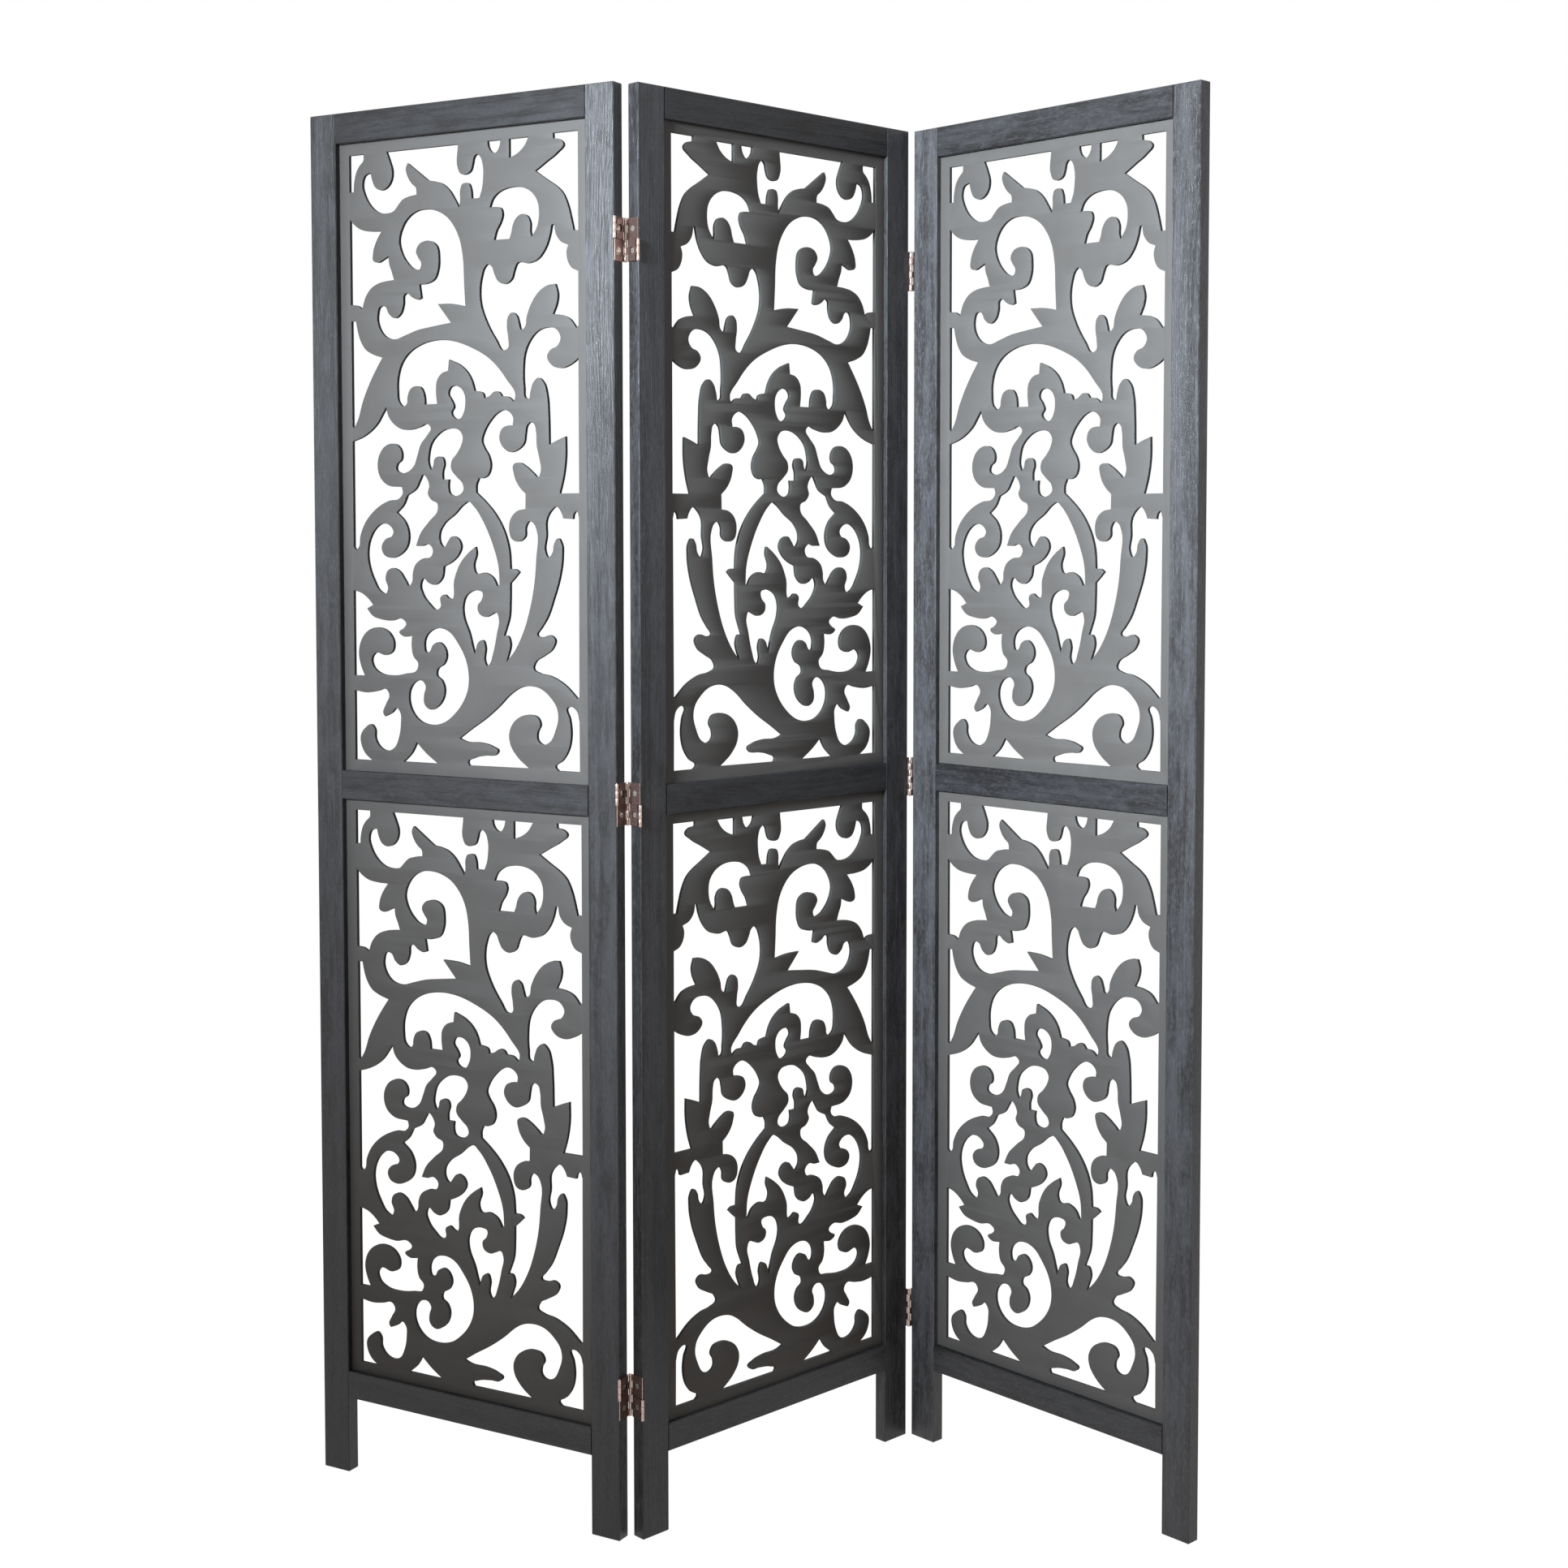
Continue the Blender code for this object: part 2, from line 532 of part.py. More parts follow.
def build_board(name, panel, span):
    """A board pierced with the scroll pattern, its rim standing in the frame's grooves."""
    width = PANEL_WIDTH - 2.0 * STILE_WIDTH
    height = span[1] - span[0]
    x_middle = panel["left"] + PANEL_WIDTH / 2.0
    z_middle = (span[0] + span[1]) / 2.0
    reach = GROOVE_DEPTH - BOARD_EDGE_CLEARANCE
    half_width = width / 2.0 + reach
    half_height = height / 2.0 + reach
    rim = [(-half_width, -half_height), (half_width, -half_height), (half_width, half_height),
           (-half_width, half_height)]
    bm = bmesh.new()
    edges = add_loop(bm, rim, x_middle, z_middle, BOARD_RECESS)
    for shares in PATTERN_SHARES.values():
        loop = opening_loop(shares, width, height, OUTLINE_TOLERANCE)
        edges.extend(add_loop(bm, loop, x_middle, z_middle, BOARD_RECESS))
    bmesh.ops.triangle_fill(bm, use_beauty=True, use_dissolve=False, edges=edges, normal=(0.0, -1.0, 0.0))
    made = bmesh.ops.extrude_face_region(bm, geom=bm.faces[:])
    moved = [item for item in made["geom"] if isinstance(item, bmesh.types.BMVert)]
    bmesh.ops.translate(bm, vec=(0.0, BOARD_THICKNESS, 0.0), verts=moved)
    turned(bm, panel["is_turned"], panel["left"])
    moved_to_parent(bm, panel["pivot"])
    return add_object(name, bm, panel["board"], panel["parent"], BOARD_SMOOTH_ANGLE)


def build_panel(panel):
    """Two stiles, three rails and two boards."""
    name = panel["name"]
    left = panel["left"]
    spans = opening_spans()
    right_stile = left + PANEL_WIDTH - STILE_WIDTH
    names = panel["stile_names"]
    build_stile(name + "_" + names[0], panel, left, True)
    build_stile(name + "_" + names[1], panel, right_stile, False)
    build_rail(name + "_bottom_rail", panel, LEG_HEIGHT, spans["lower"][0], ("top",))
    build_rail(name + "_middle_rail", panel, spans["lower"][1], spans["upper"][0], ("top", "bottom"))
    build_rail(name + "_top_rail", panel, spans["upper"][1], PANEL_HEIGHT, ("bottom",))
    build_board(name + "_lower_board", panel, spans["lower"])
    build_board(name + "_upper_board", panel, spans["upper"])


def knuckle_band(index):
    """Bottom and top of one of a hinge's knuckles, about the hinge's middle."""
    length = (HINGE_HEIGHT - (KNUCKLES - 1) * KNUCKLE_GAP) / KNUCKLES
    bottom = index * (length + KNUCKLE_GAP) - HINGE_HEIGHT / 2.0
    return bottom, bottom + length


def lower_bands():
    """The knuckles that the lower half of a hinge has."""
    return tuple(range(KNUCKLES // 2))


def upper_bands():
    """The knuckles that the upper half of a hinge has."""
    return tuple(range(KNUCKLES // 2, KNUCKLES))


def outer_bands(bands):
    """The two end knuckles of a barrel, which belong to the leaf."""
    return bands[0], bands[-1]


def knuckle_radius():
    """Radius that lets a leaf run tangent into its knuckle."""
    return PANEL_GAP / 2.0 - FIT_GAP - KNUCKLE_BITE_DEPTH


def leaf_outline(front_bands, back_bands):
    """Side view of a leaf: a plate with tabs that reach to the pivot lines."""
    points = []
    for index in range(KNUCKLES):
        low, high = knuckle_band(index)
        if index in back_bands:
            points.extend([(PANEL_THICKNESS, low), (back_axis_y(), low)])
            points.extend([(back_axis_y(), high), (PANEL_THICKNESS, high)])
        elif index in (0, KNUCKLES - 1):
            points.append((PANEL_THICKNESS, low if index == 0 else high))
    for index in reversed(range(KNUCKLES)):
        low, high = knuckle_band(index)
        if index in front_bands:
            points.extend([(0.0, high), (front_axis_y(), high), (front_axis_y(), low), (0.0, low)])
        elif index in (0, KNUCKLES - 1):
            points.append((0.0, low if index == 0 else high))
    return points


def strap_outline(bands):
    """Side view of a strap: a broad middle with a tongue to each pivot line."""
    low = knuckle_band(bands[0])[0]
    high = knuckle_band(bands[-1])[1]
    tongue_low, tongue_high = knuckle_band(bands[1])
    front = front_axis_y() + TONGUE_LENGTH
    back = back_axis_y() - TONGUE_LENGTH
    back_half = [
        (back, low), (back, tongue_low), (back_axis_y(), tongue_low),
        (back_axis_y(), tongue_high), (back, tongue_high), (back, high)]
    front_half = [
        (front, high), (front, tongue_high), (front_axis_y(), tongue_high),
        (front_axis_y(), tongue_low), (front, tongue_low), (front, low)]
    return back_half + front_half


def plate(outline, x_low, x_high):
    """A flat plate from its side view, between two places across the gap."""
    bm = bmesh.new()
    verts = [bm.verts.new((x_low, point[0], point[1])) for point in outline]
    bm.faces.new(verts)
    made = bmesh.ops.extrude_face_region(bm, geom=bm.faces[:])
    moved = [item for item in made["geom"] if isinstance(item, bmesh.types.BMVert)]
    bmesh.ops.translate(bm, vec=(x_high - x_low, 0.0, 0.0), verts=moved)
    return bm


def lathe(bm, profile, y):
    """Adds a turned piece about a pivot line from its radius and height profile."""
    rings = []
    for radius, z in profile:
        ring = []
        for side in range(KNUCKLE_SIDES):
            angle = 2.0 * math.pi * side / KNUCKLE_SIDES
            ring.append(bm.verts.new((radius * math.cos(angle), y + radius * math.sin(angle), z)))
        rings.append(ring)
    for lower, upper in zip(rings, rings[1:]):
        for side in range(KNUCKLE_SIDES):
            after = (side + 1) % KNUCKLE_SIDES
            bm.faces.new((lower[side], lower[after], upper[after], upper[side]))
    bm.faces.new(list(reversed(rings[0])))
    bm.faces.new(rings[-1])


def add_spindle(bm, y, bands, has_pin):
    """The two outer knuckles of a barrel, with the pin between them where the pivot is closed."""
    radius = knuckle_radius()
    low, low_end = knuckle_band(bands[0])
    high_start, high = knuckle_band(bands[-1])
    if has_pin:
        lathe(bm, [(radius, low), (radius, low_end), (PIN_RADIUS, low_end), (PIN_RADIUS, high_start),
                   (radius, high_start), (radius, high)], y)
    else:
        lathe(bm, [(radius, low), (radius, low_end)], y)
        lathe(bm, [(radius, high_start), (radius, high)], y)


def build_leaf(name, hinge, is_left, lower_pin):
    """A leaf on a stile's edge with its knuckles and pins."""
    side = -1.0 if is_left else 1.0
    outer = side * (PANEL_GAP / 2.0 - FIT_GAP)
    inner = outer - side * LEAF_THICKNESS
    lower_y = back_axis_y() if is_left else front_axis_y()
    upper_y = front_axis_y() if is_left else back_axis_y()
    lower_tabs = outer_bands(lower_bands())
    upper_tabs = outer_bands(upper_bands())
    front_bands = upper_tabs if is_left else lower_tabs
    back_bands = lower_tabs if is_left else upper_tabs
    bm = plate(leaf_outline(front_bands, back_bands), min(outer, inner), max(outer, inner))
    knuckles = bmesh.new()
    add_spindle(knuckles, lower_y, lower_tabs, lower_pin)
    add_spindle(knuckles, upper_y, upper_tabs, True)
    item = place_hardware(name, hinge, bm, hinge["leaf_metal"])
    add_cutter(item, placed(knuckles, hinge), "UNION", HINGE_SMOOTH_ANGLE)
    return item


def placed(bm, hinge):
    """Moves hinge pieces from the hinge's middle to their place about the parent pivot."""
    bmesh.ops.translate(bm, vec=Vector(hinge["middle"]) - Vector(hinge["pivot"]), verts=bm.verts)
    return bm


def place_hardware(name, hinge, bm, material):
    """Puts a hinge piece under the pivot that carries it."""
    return add_object(name, placed(bm, hinge), material, hinge["parent"], HINGE_SMOOTH_ANGLE)


def screw_hole(bm, z):
    """Adds a cutter through a strap, where a driver reaches the screws behind it."""
    made = bmesh.ops.create_cone(bm, cap_ends=True, segments=KNUCKLE_SIDES, radius1=SCREW_HOLE_RADIUS,
                                 radius2=SCREW_HOLE_RADIUS, depth=PANEL_GAP)
    quarter_turn = Matrix.Rotation(math.pi / 2.0, 3, "Y")
    bmesh.ops.rotate(bm, cent=(0.0, 0.0, 0.0), matrix=quarter_turn, verts=made["verts"])
    bmesh.ops.translate(bm, vec=(0.0, PANEL_THICKNESS / 2.0, z), verts=made["verts"])


def build_strap(name, hinge, bands):
    """A strap that crosses the gap, with a bored knuckle on each pivot line."""
    half = STRAP_THICKNESS / 2.0
    bm = plate(strap_outline(bands), -half, half)
    low, high = knuckle_band(bands[1])
    radius = knuckle_radius()
    knuckles = bmesh.new()
    holes = bmesh.new()
    for y in (front_axis_y(), back_axis_y()):
        lathe(knuckles, [(radius, low), (radius, high)], y)
        bore = PIN_RADIUS + BORE_CLEARANCE
        lathe(holes, [(bore, low - CUT_OVERRUN), (bore, high + CUT_OVERRUN)], y)
    screw_hole(holes, (low + high) / 2.0)
    item = place_hardware(name, hinge, bm, hinge["strap_metal"])
    add_cutter(item, placed(knuckles, hinge), "UNION", HINGE_SMOOTH_ANGLE)
    add_cutter(item, placed(holes, hinge), "DIFFERENCE", HINGE_SMOOTH_ANGLE)
    return item


def hinge_at(parent, pivot, middle_x, height, look):
    """Where a hinge piece sits and what carries it."""
    return {
        "parent": parent, "pivot": pivot, "middle": (middle_x, 0.0, height),
        "leaf_metal": look["leaf_metal"], "strap_metal": look["strap_metal"]}


def build_hinge_line(line, carriers, middle_x, look):
    """Three two-way hinges between two panels."""
    for level, height in zip(("low", "middle", "high"), hinge_heights()):
        name = line + "_" + level + "_hinge"
        is_left_line = line == "left"
        left_hinge = hinge_at(*carriers["left_leaf"], middle_x, height, look)
        right_hinge = hinge_at(*carriers["right_leaf"], middle_x, height, look)
        upper = hinge_at(*carriers["upper_strap"], middle_x, height, look)
        lower = hinge_at(*carriers["lower_strap"], middle_x, height, look)
        build_leaf(name + "_left_leaf", left_hinge, True, not is_left_line)
        build_leaf(name + "_right_leaf", right_hinge, False, is_left_line)
        build_strap(name + "_upper_strap", upper, upper_bands())
        build_strap(name + "_lower_strap", lower, lower_bands())


def build_pivots():
    """Empties on the six pivot lines, in one chain out from the middle panel."""
    left_x = -PANEL_GAP / 2.0
    right_x = PANEL_WIDTH + PANEL_GAP / 2.0
    root_at = Vector((0.0, 0.0, 0.0))
    root = add_empty("middle_panel_frame", root_at, MIDDLE_TURN_ANGLE, None)
    back = Vector((0.0, back_axis_y(), 0.0))
    front = Vector((0.0, front_axis_y(), 0.0))
    left_back = Vector((left_x, 0.0, 0.0)) + back
    left_front = Vector((left_x, 0.0, 0.0)) + front
    right_back = Vector((right_x, 0.0, 0.0)) + back
    right_front = Vector((right_x, 0.0, 0.0)) + front
    left_fold = add_empty("left_fold_axis", left_back, -LEFT_FOLD_ANGLE, root)
    left_reverse = add_empty("left_reverse_axis", left_front - left_back, 0.0, left_fold)
    left_lower = add_empty("left_lower_strap_axis", left_front, 0.0, root)
    right_fold = add_empty("right_fold_axis", right_front, -RIGHT_FOLD_ANGLE, root)
    right_reverse = add_empty("right_reverse_axis", right_back - right_front, 0.0, right_fold)
    right_lower = add_empty("right_lower_strap_axis", right_back, 0.0, root)
    return {
        "root": (root, root_at),
        "left_fold": (left_fold, left_back),
        "left_reverse": (left_reverse, left_front),
        "left_lower": (left_lower, left_front),
        "right_fold": (right_fold, right_front),
        "right_reverse": (right_reverse, right_back),
        "right_lower": (right_lower, right_back)}


def panel_setup(name, left, carrier, is_turned, stile_names, look):
    """Values that the pieces of one panel share."""
    return {
        "name": name, "left": left, "parent": carrier[0], "pivot": carrier[1], "is_turned": is_turned,
        "stile_names": stile_names, "wood": look["wood"], "board": look["board"]}


def centre_on_floor(root):
    """Moves the screen so that its standing box is centred over the origin."""
    bpy.context.view_layer.update()
    graph = bpy.context.evaluated_depsgraph_get()
    lows = []
    highs = []
    for item in bpy.context.scene.objects:
        if item.type == "MESH" and not item.hide_render:
            shape = item.evaluated_get(graph)
            places = np.array([shape.matrix_world @ vert.co for vert in shape.data.vertices])
            lows.append(places.min(axis=0))
            highs.append(places.max(axis=0))
    low = np.min(lows, axis=0)
    high = np.max(highs, axis=0)
    root.location.x -= (low[0] + high[0]) / 2.0
    root.location.y -= (low[1] + high[1]) / 2.0
    root.location.z -= low[2]
    bpy.context.view_layer.update()


def main():
    """Builds the screen."""
    clear_scene()
    look = {
        "wood": make_material("blackened_wood", (0.030, 0.028, 0.032), 0.42, 0.0),
        "board": make_material("painted_board", (0.075, 0.073, 0.072), 0.62, 0.0),
        "leaf_metal": make_material("coppered_steel", (0.36, 0.17, 0.10), 0.38, 0.9),
        "strap_metal": make_material("coppered_strap", (0.40, 0.20, 0.12), 0.36, 0.9)}
    pivots = build_pivots()
    step = PANEL_WIDTH + PANEL_GAP
    outer_first = ("outer_stile", "hinge_stile")
    hinge_first = ("hinge_stile", "outer_stile")
    panels = (
        panel_setup("left_panel", -step, pivots["left_reverse"], False, outer_first, look),
        panel_setup("middle_panel", 0.0, pivots["root"], True, ("right_stile", "left_stile"), look),
        panel_setup("right_panel", step, pivots["right_reverse"], False, hinge_first, look))
    for panel in panels:
        build_panel(panel)
    left_line = {
        "left_leaf": pivots["left_reverse"], "right_leaf": pivots["root"],
        "upper_strap": pivots["left_fold"], "lower_strap": pivots["left_lower"]}
    right_line = {
        "left_leaf": pivots["root"], "right_leaf": pivots["right_reverse"],
        "upper_strap": pivots["right_fold"], "lower_strap": pivots["right_lower"]}
    build_hinge_line("left", left_line, -PANEL_GAP / 2.0, look)
    build_hinge_line("right", right_line, PANEL_WIDTH + PANEL_GAP / 2.0, look)
    centre_on_floor(pivots["root"][0])


main()
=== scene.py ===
"""Dresses the three-panel folding screen: stained wood frames, pierced boards and two-way hinges.

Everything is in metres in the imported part's frame. A panel's own frame has X across the panel from its
left edge, Y from its front face to its back, and Z up from the floor.
"""
import json
import logging
import math
from dataclasses import dataclass
from enum import Enum
from typing import Iterable

import bmesh
import bpy
from mathutils import Matrix, Vector


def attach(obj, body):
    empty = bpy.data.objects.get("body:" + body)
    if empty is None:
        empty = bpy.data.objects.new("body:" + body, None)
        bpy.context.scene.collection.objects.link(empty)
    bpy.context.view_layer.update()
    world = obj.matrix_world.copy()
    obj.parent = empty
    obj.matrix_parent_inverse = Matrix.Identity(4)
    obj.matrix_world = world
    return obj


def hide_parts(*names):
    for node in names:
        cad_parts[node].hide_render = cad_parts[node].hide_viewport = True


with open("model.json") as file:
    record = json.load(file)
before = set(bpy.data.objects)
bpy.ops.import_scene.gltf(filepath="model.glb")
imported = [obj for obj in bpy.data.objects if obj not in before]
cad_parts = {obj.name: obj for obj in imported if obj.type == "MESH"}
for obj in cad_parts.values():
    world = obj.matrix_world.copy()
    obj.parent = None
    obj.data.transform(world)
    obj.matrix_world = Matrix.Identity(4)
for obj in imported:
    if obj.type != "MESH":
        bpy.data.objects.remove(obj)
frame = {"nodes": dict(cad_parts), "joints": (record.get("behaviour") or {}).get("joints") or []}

LOG = logging.getLogger("folding_screen")
SHARE_STEP = 0.001
PATTERN_CENTRE_SHARES = (0.512, 0.5015)

# Each opening of a board, as thousandths of its light opening's width from the left and height from the
# top. A third value of 1 marks a sharp corner, and the other points lie on a smooth curve.
PATTERN_SHARES = {
    "top_left_slot": (
        (53, 20, 1), (114, 20, 1), (113, 30), (98, 37), (84, 46), (76, 57), (72, 68), (71, 78, 1),
        (53, 78, 1)),
    "crest_and_hook": (
        (210, 20, 1), (504, 20, 1), (504, 58), (513, 65), (533, 67), (552, 63), (562, 52), (568, 42),
        (579, 38), (592, 42), (603, 56), (604, 75), (598, 93), (588, 105, 1), (558, 105, 1), (553, 88),
        (545, 81), (533, 80), (519, 82), (513, 88), (511, 108), (507, 117, 1), (490, 104), (468, 89),
        (440, 78), (410, 73), (383, 71, 1), (298, 41, 1), (291, 48), (298, 62), (314, 73), (332, 81),
        (334, 91, 1),
        (300, 93), (275, 97), (257, 105), (240, 113), (208, 116), (170, 112), (140, 101), (118, 85),
        (108, 67), (118, 54), (143, 50, 1), (151, 64), (163, 74), (187, 79), (212, 75), (230, 63),
        (233, 50), (224, 36)),
    "top_drop": (
        (622, 20, 1), (674, 20, 1), (668, 31), (652, 39), (636, 36), (625, 28)),
    "top_wedge": (
        (707, 20, 1), (783, 20, 1), (766, 33), (743, 42), (707, 49, 1)),
    "top_right_flag": (
        (877, 18, 1), (972, 18, 1), (972, 166, 1), (954, 166, 1), (944, 146), (930, 124), (911, 107),
        (888, 97), (852, 86), (808, 72, 1), (850, 60), (892, 48), (917, 35), (905, 29), (878, 26, 1)),
    "arch": (
        (629, 121, 1), (640, 109), (665, 99), (700, 94), (730, 93), (765, 96), (797, 105), (817, 119),
        (822, 135), (815, 155), (793, 171, 1), (788, 163), (787, 148), (775, 138), (756, 135), (736, 139),
        (721, 149), (713, 163), (706, 171, 1), (645, 171, 1), (655, 157), (671, 145), (679, 131),
        (672, 123), (655, 121)),
    "left_bud": (
        (54, 121, 1), (75, 131), (105, 139), (140, 142), (187, 143, 1), (165, 158), (151, 175), (152, 189),
        (170, 192), (193, 188), (215, 183, 1), (218, 196), (228, 208), (237, 221, 1), (205, 222),
        (170, 225), (140, 232), (117, 245), (102, 264, 1), (84, 258), (54, 256, 1)),
    "heart": (
        (370, 115), (415, 119), (455, 129), (487, 146), (508, 166), (520, 192), (525, 235), (529, 269, 1),
        (475, 264), (417, 263, 1), (440, 276), (470, 293, 1), (400, 297), (330, 302), (280, 309),
        (240, 314), (200, 309), (174, 295), (166, 276), (180, 261), (199, 262), (215, 274), (240, 281),
        (262, 275), (275, 260), (280, 245), (290, 243), (312, 250), (338, 254), (349, 252, 1),
        (342, 231, 1), (375, 230), (404, 224), (419, 209), (422, 192), (413, 172), (392, 165), (365, 164),
        (341, 169), (330, 179), (340, 190), (351, 198), (344, 207), (322, 206), (292, 195), (268, 177),
        (260, 160), (270, 143), (297, 126), (332, 117)),
    "right_leaves": (
        (620, 207), (606, 212), (594, 226), (587, 248), (591, 268), (610, 292), (650, 323), (680, 340),
        (697, 337), (699, 322), (694, 303), (700, 288), (714, 283), (730, 287), (741, 300), (750, 310),
        (763, 307), (772, 290), (790, 271), (822, 253), (855, 245), (883, 244, 1), (892, 260), (888, 273),
        (873, 289, 1), (905, 291), (936, 297), (963, 312, 1), (971, 308, 1), (971, 227, 1), (945, 221),
        (930, 209), (927, 196), (933, 187, 1), (905, 181), (886, 169), (880, 154, 1), (870, 155, 1),
        (860, 174), (843, 191), (815, 205), (780, 210), (735, 209), (724, 219), (712, 233), (686, 239),
        (660, 234), (645, 222), (635, 211)),
    "left_blade": (
        (56, 282, 1), (75, 282, 1), (81, 296), (93, 313), (115, 328), (145, 336), (185, 342, 1),
        (160, 359), (130, 382), (100, 411), (80, 438), (63, 452, 1), (56, 449, 1)),
    "crescent": (
        (275, 420), (256, 415), (247, 395), (249, 375), (265, 353), (295, 337), (350, 324), (415, 319),
        (480, 322), (550, 333), (625, 352), (690, 384), (725, 412), (718, 419, 1), (697, 411),
        (672, 410, 1), (660, 403), (645, 402), (622, 409), (602, 412, 1), (596, 404), (580, 401),
        (563, 400, 1), (552, 384), (533, 370), (505, 359), (461, 350, 1), (457, 367, 1), (430, 371),
        (411, 382), (407, 398), (411, 418, 1), (361, 418, 1), (356, 401), (343, 391), (322, 389),
        (302, 393), (289, 406), (286, 416)),
    "bean": (
        (485, 391), (508, 395), (523, 405), (526, 417), (519, 433), (504, 442), (487, 442), (469, 432),
        (479, 424), (470, 413), (457, 403), (467, 393)),
    "small_flame": (
        (475, 457), (500, 460), (514, 470), (508, 483), (490, 496), (468, 508), (466, 519), (490, 533),
        (512, 543), (516, 552), (500, 560), (480, 562), (460, 558), (454, 548), (456, 536, 1),
        (431, 536, 1), (431, 524), (438, 511), (431, 502), (415, 500), (400, 503), (393, 514), (385, 520),
        (375, 513), (375, 495), (385, 480), (405, 469), (440, 459)),
    "right_hook": (
        (845, 309), (812, 314), (785, 326), (766, 342), (757, 370), (759, 398), (765, 414), (776, 416),
        (784, 405), (797, 390), (815, 384), (835, 391), (849, 411), (854, 440), (856, 486, 1), (885, 480),
        (919, 474, 1), (919, 505), (909, 537), (895, 560, 1), (970, 560, 1), (970, 357, 1), (945, 365),
        (905, 371), (868, 366), (850, 352), (862, 343), (890, 337), (902, 326), (888, 313)),
    "left_wave": (
        (56, 473, 1), (95, 467), (130, 458), (162, 445), (183, 431), (199, 420, 1), (210, 436),
        (233, 448), (265, 456), (300, 457), (340, 453), (372, 449), (384, 455), (368, 467), (343, 480),
        (328, 498), (313, 514), (288, 523), (262, 525), (240, 519), (243, 511), (260, 504), (262, 492),
        (246, 481), (218, 478), (190, 483), (168, 496), (161, 512), (173, 532), (200, 543), (262, 547, 1),
        (266, 556), (250, 565), (210, 568), (170, 576), (132, 589), (103, 605), (84, 625), (77, 642),
        (65, 646), (56, 642, 1)),
    "left_flourish": (
        (350, 528), (368, 535), (376, 545), (370, 558), (385, 568), (409, 574), (410, 583), (375, 601),
        (338, 620), (319, 640, 1), (345, 640), (370, 637), (389, 647), (382, 656), (345, 660), (315, 670),
        (305, 682), (301, 697), (289, 703), (272, 694), (248, 680), (220, 675), (198, 680), (190, 692),
        (200, 708), (190, 716), (170, 713), (140, 694), (119, 669), (115, 648), (128, 626), (150, 612),
        (175, 605), (208, 607), (225, 618), (218, 625, 1), (190, 630), (175, 641), (183, 653), (212, 659),
        (252, 654), (281, 641), (289, 623), (274, 602), (240, 587, 1), (266, 576), (284, 560, 1),
        (320, 550), (338, 536)),
    "long_stem": (
        (680, 431), (655, 435), (625, 447), (600, 464), (591, 478), (600, 488), (617, 500), (625, 517),
        (610, 532), (595, 535), (577, 535, 1), (567, 546), (567, 557, 1), (605, 572), (645, 592),
        (680, 620), (696, 645), (701, 675, 1), (725, 676), (736, 680, 1), (720, 688), (700, 697, 1),
        (699, 725), (695, 750), (683, 767), (674, 778, 1), (690, 779), (697, 785), (683, 819, 1),
        (715, 802), (750, 773), (778, 735), (795, 698), (803, 660), (805, 615), (795, 606), (777, 602),
        (763, 610), (759, 626), (735, 633), (710, 630), (697, 613), (706, 596), (730, 586), (762, 583, 1),
        (763, 560, 1), (740, 550), (717, 529), (716, 515), (738, 512), (765, 518), (795, 529), (812, 535),
        (822, 527), (818, 507), (808, 488), (805, 465), (798, 454), (784, 451), (770, 456), (764, 467),
        (757, 483), (735, 492), (706, 496), (675, 488), (661, 473), (673, 459), (695, 455), (714, 455, 1),
        (716, 443), (700, 434)),
    "right_sail": (
        (882, 580), (862, 586), (846, 597), (843, 625), (838, 648), (850, 657), (866, 650), (873, 636),
        (888, 628), (901, 636), (904, 655), (893, 688), (870, 720), (841, 752), (821, 765), (806, 777),
        (825, 779), (858, 776), (874, 782), (865, 796), (830, 808), (797, 818), (790, 828), (812, 834),
        (855, 838), (908, 850), (959, 871, 1), (967, 869, 1), (969, 597, 1), (959, 587), (949, 591),
        (945, 599, 1), (909, 598, 1), (900, 588)),
    "centre_petal": (
        (536, 571), (556, 578), (597, 604), (632, 638), (654, 671), (658, 700, 1), (648, 702, 1),
        (632, 689), (600, 681), (563, 682), (555, 672), (566, 650), (562, 641, 1), (535, 650), (500, 667),
        (475, 693), (462, 723), (450, 721), (435, 716), (419, 720), (418, 736), (405, 740), (370, 730),
        (345, 716), (336, 701), (348, 691), (370, 698), (395, 701), (424, 691), (433, 672, 1), (465, 665),
        (492, 654), (504, 641), (493, 629), (467, 625), (449, 634), (434, 642), (419, 635), (417, 619),
        (432, 607), (480, 590), (517, 575)),
    "tulip": (
        (572, 709), (589, 712), (586, 723), (570, 732), (573, 743), (603, 750), (625, 746), (645, 743),
        (654, 752), (646, 775), (628, 809), (617, 822), (606, 826), (597, 820), (598, 795), (588, 786),
        (570, 790), (562, 799), (556, 809, 1), (549, 799), (535, 776), (513, 751), (510, 733), (522, 718),
        (543, 711)),
    "left_curl": (
        (54, 711, 1), (90, 716), (120, 726), (136, 734, 1), (110, 740, 1), (135, 752), (170, 757),
        (210, 759), (260, 756), (275, 763), (262, 771), (246, 776), (262, 783), (299, 782, 1), (297, 798),
        (305, 815), (324, 826), (318, 836), (275, 842), (215, 846), (165, 843), (135, 833), (128, 820),
        (143, 811), (190, 814), (217, 807), (222, 794), (205, 779), (160, 770), (115, 775), (84, 791),
        (73, 811), (82, 832), (98, 848, 1), (54, 848, 1)),
    "c_scroll": (
        (415, 769), (455, 775), (490, 793), (518, 815), (531, 840), (528, 862), (510, 882), (475, 902),
        (430, 917), (380, 922), (335, 918), (300, 904), (284, 884), (290, 866), (315, 854), (340, 853),
        (354, 861), (347, 875), (349, 890), (372, 898), (405, 892), (427, 878), (431, 863), (420, 851),
        (400, 843), (403, 834), (430, 825), (441, 813), (433, 799), (410, 791), (385, 796), (372, 806),
        (358, 808), (350, 798), (357, 783), (380, 773)),
    "bottom_left_leaf": (
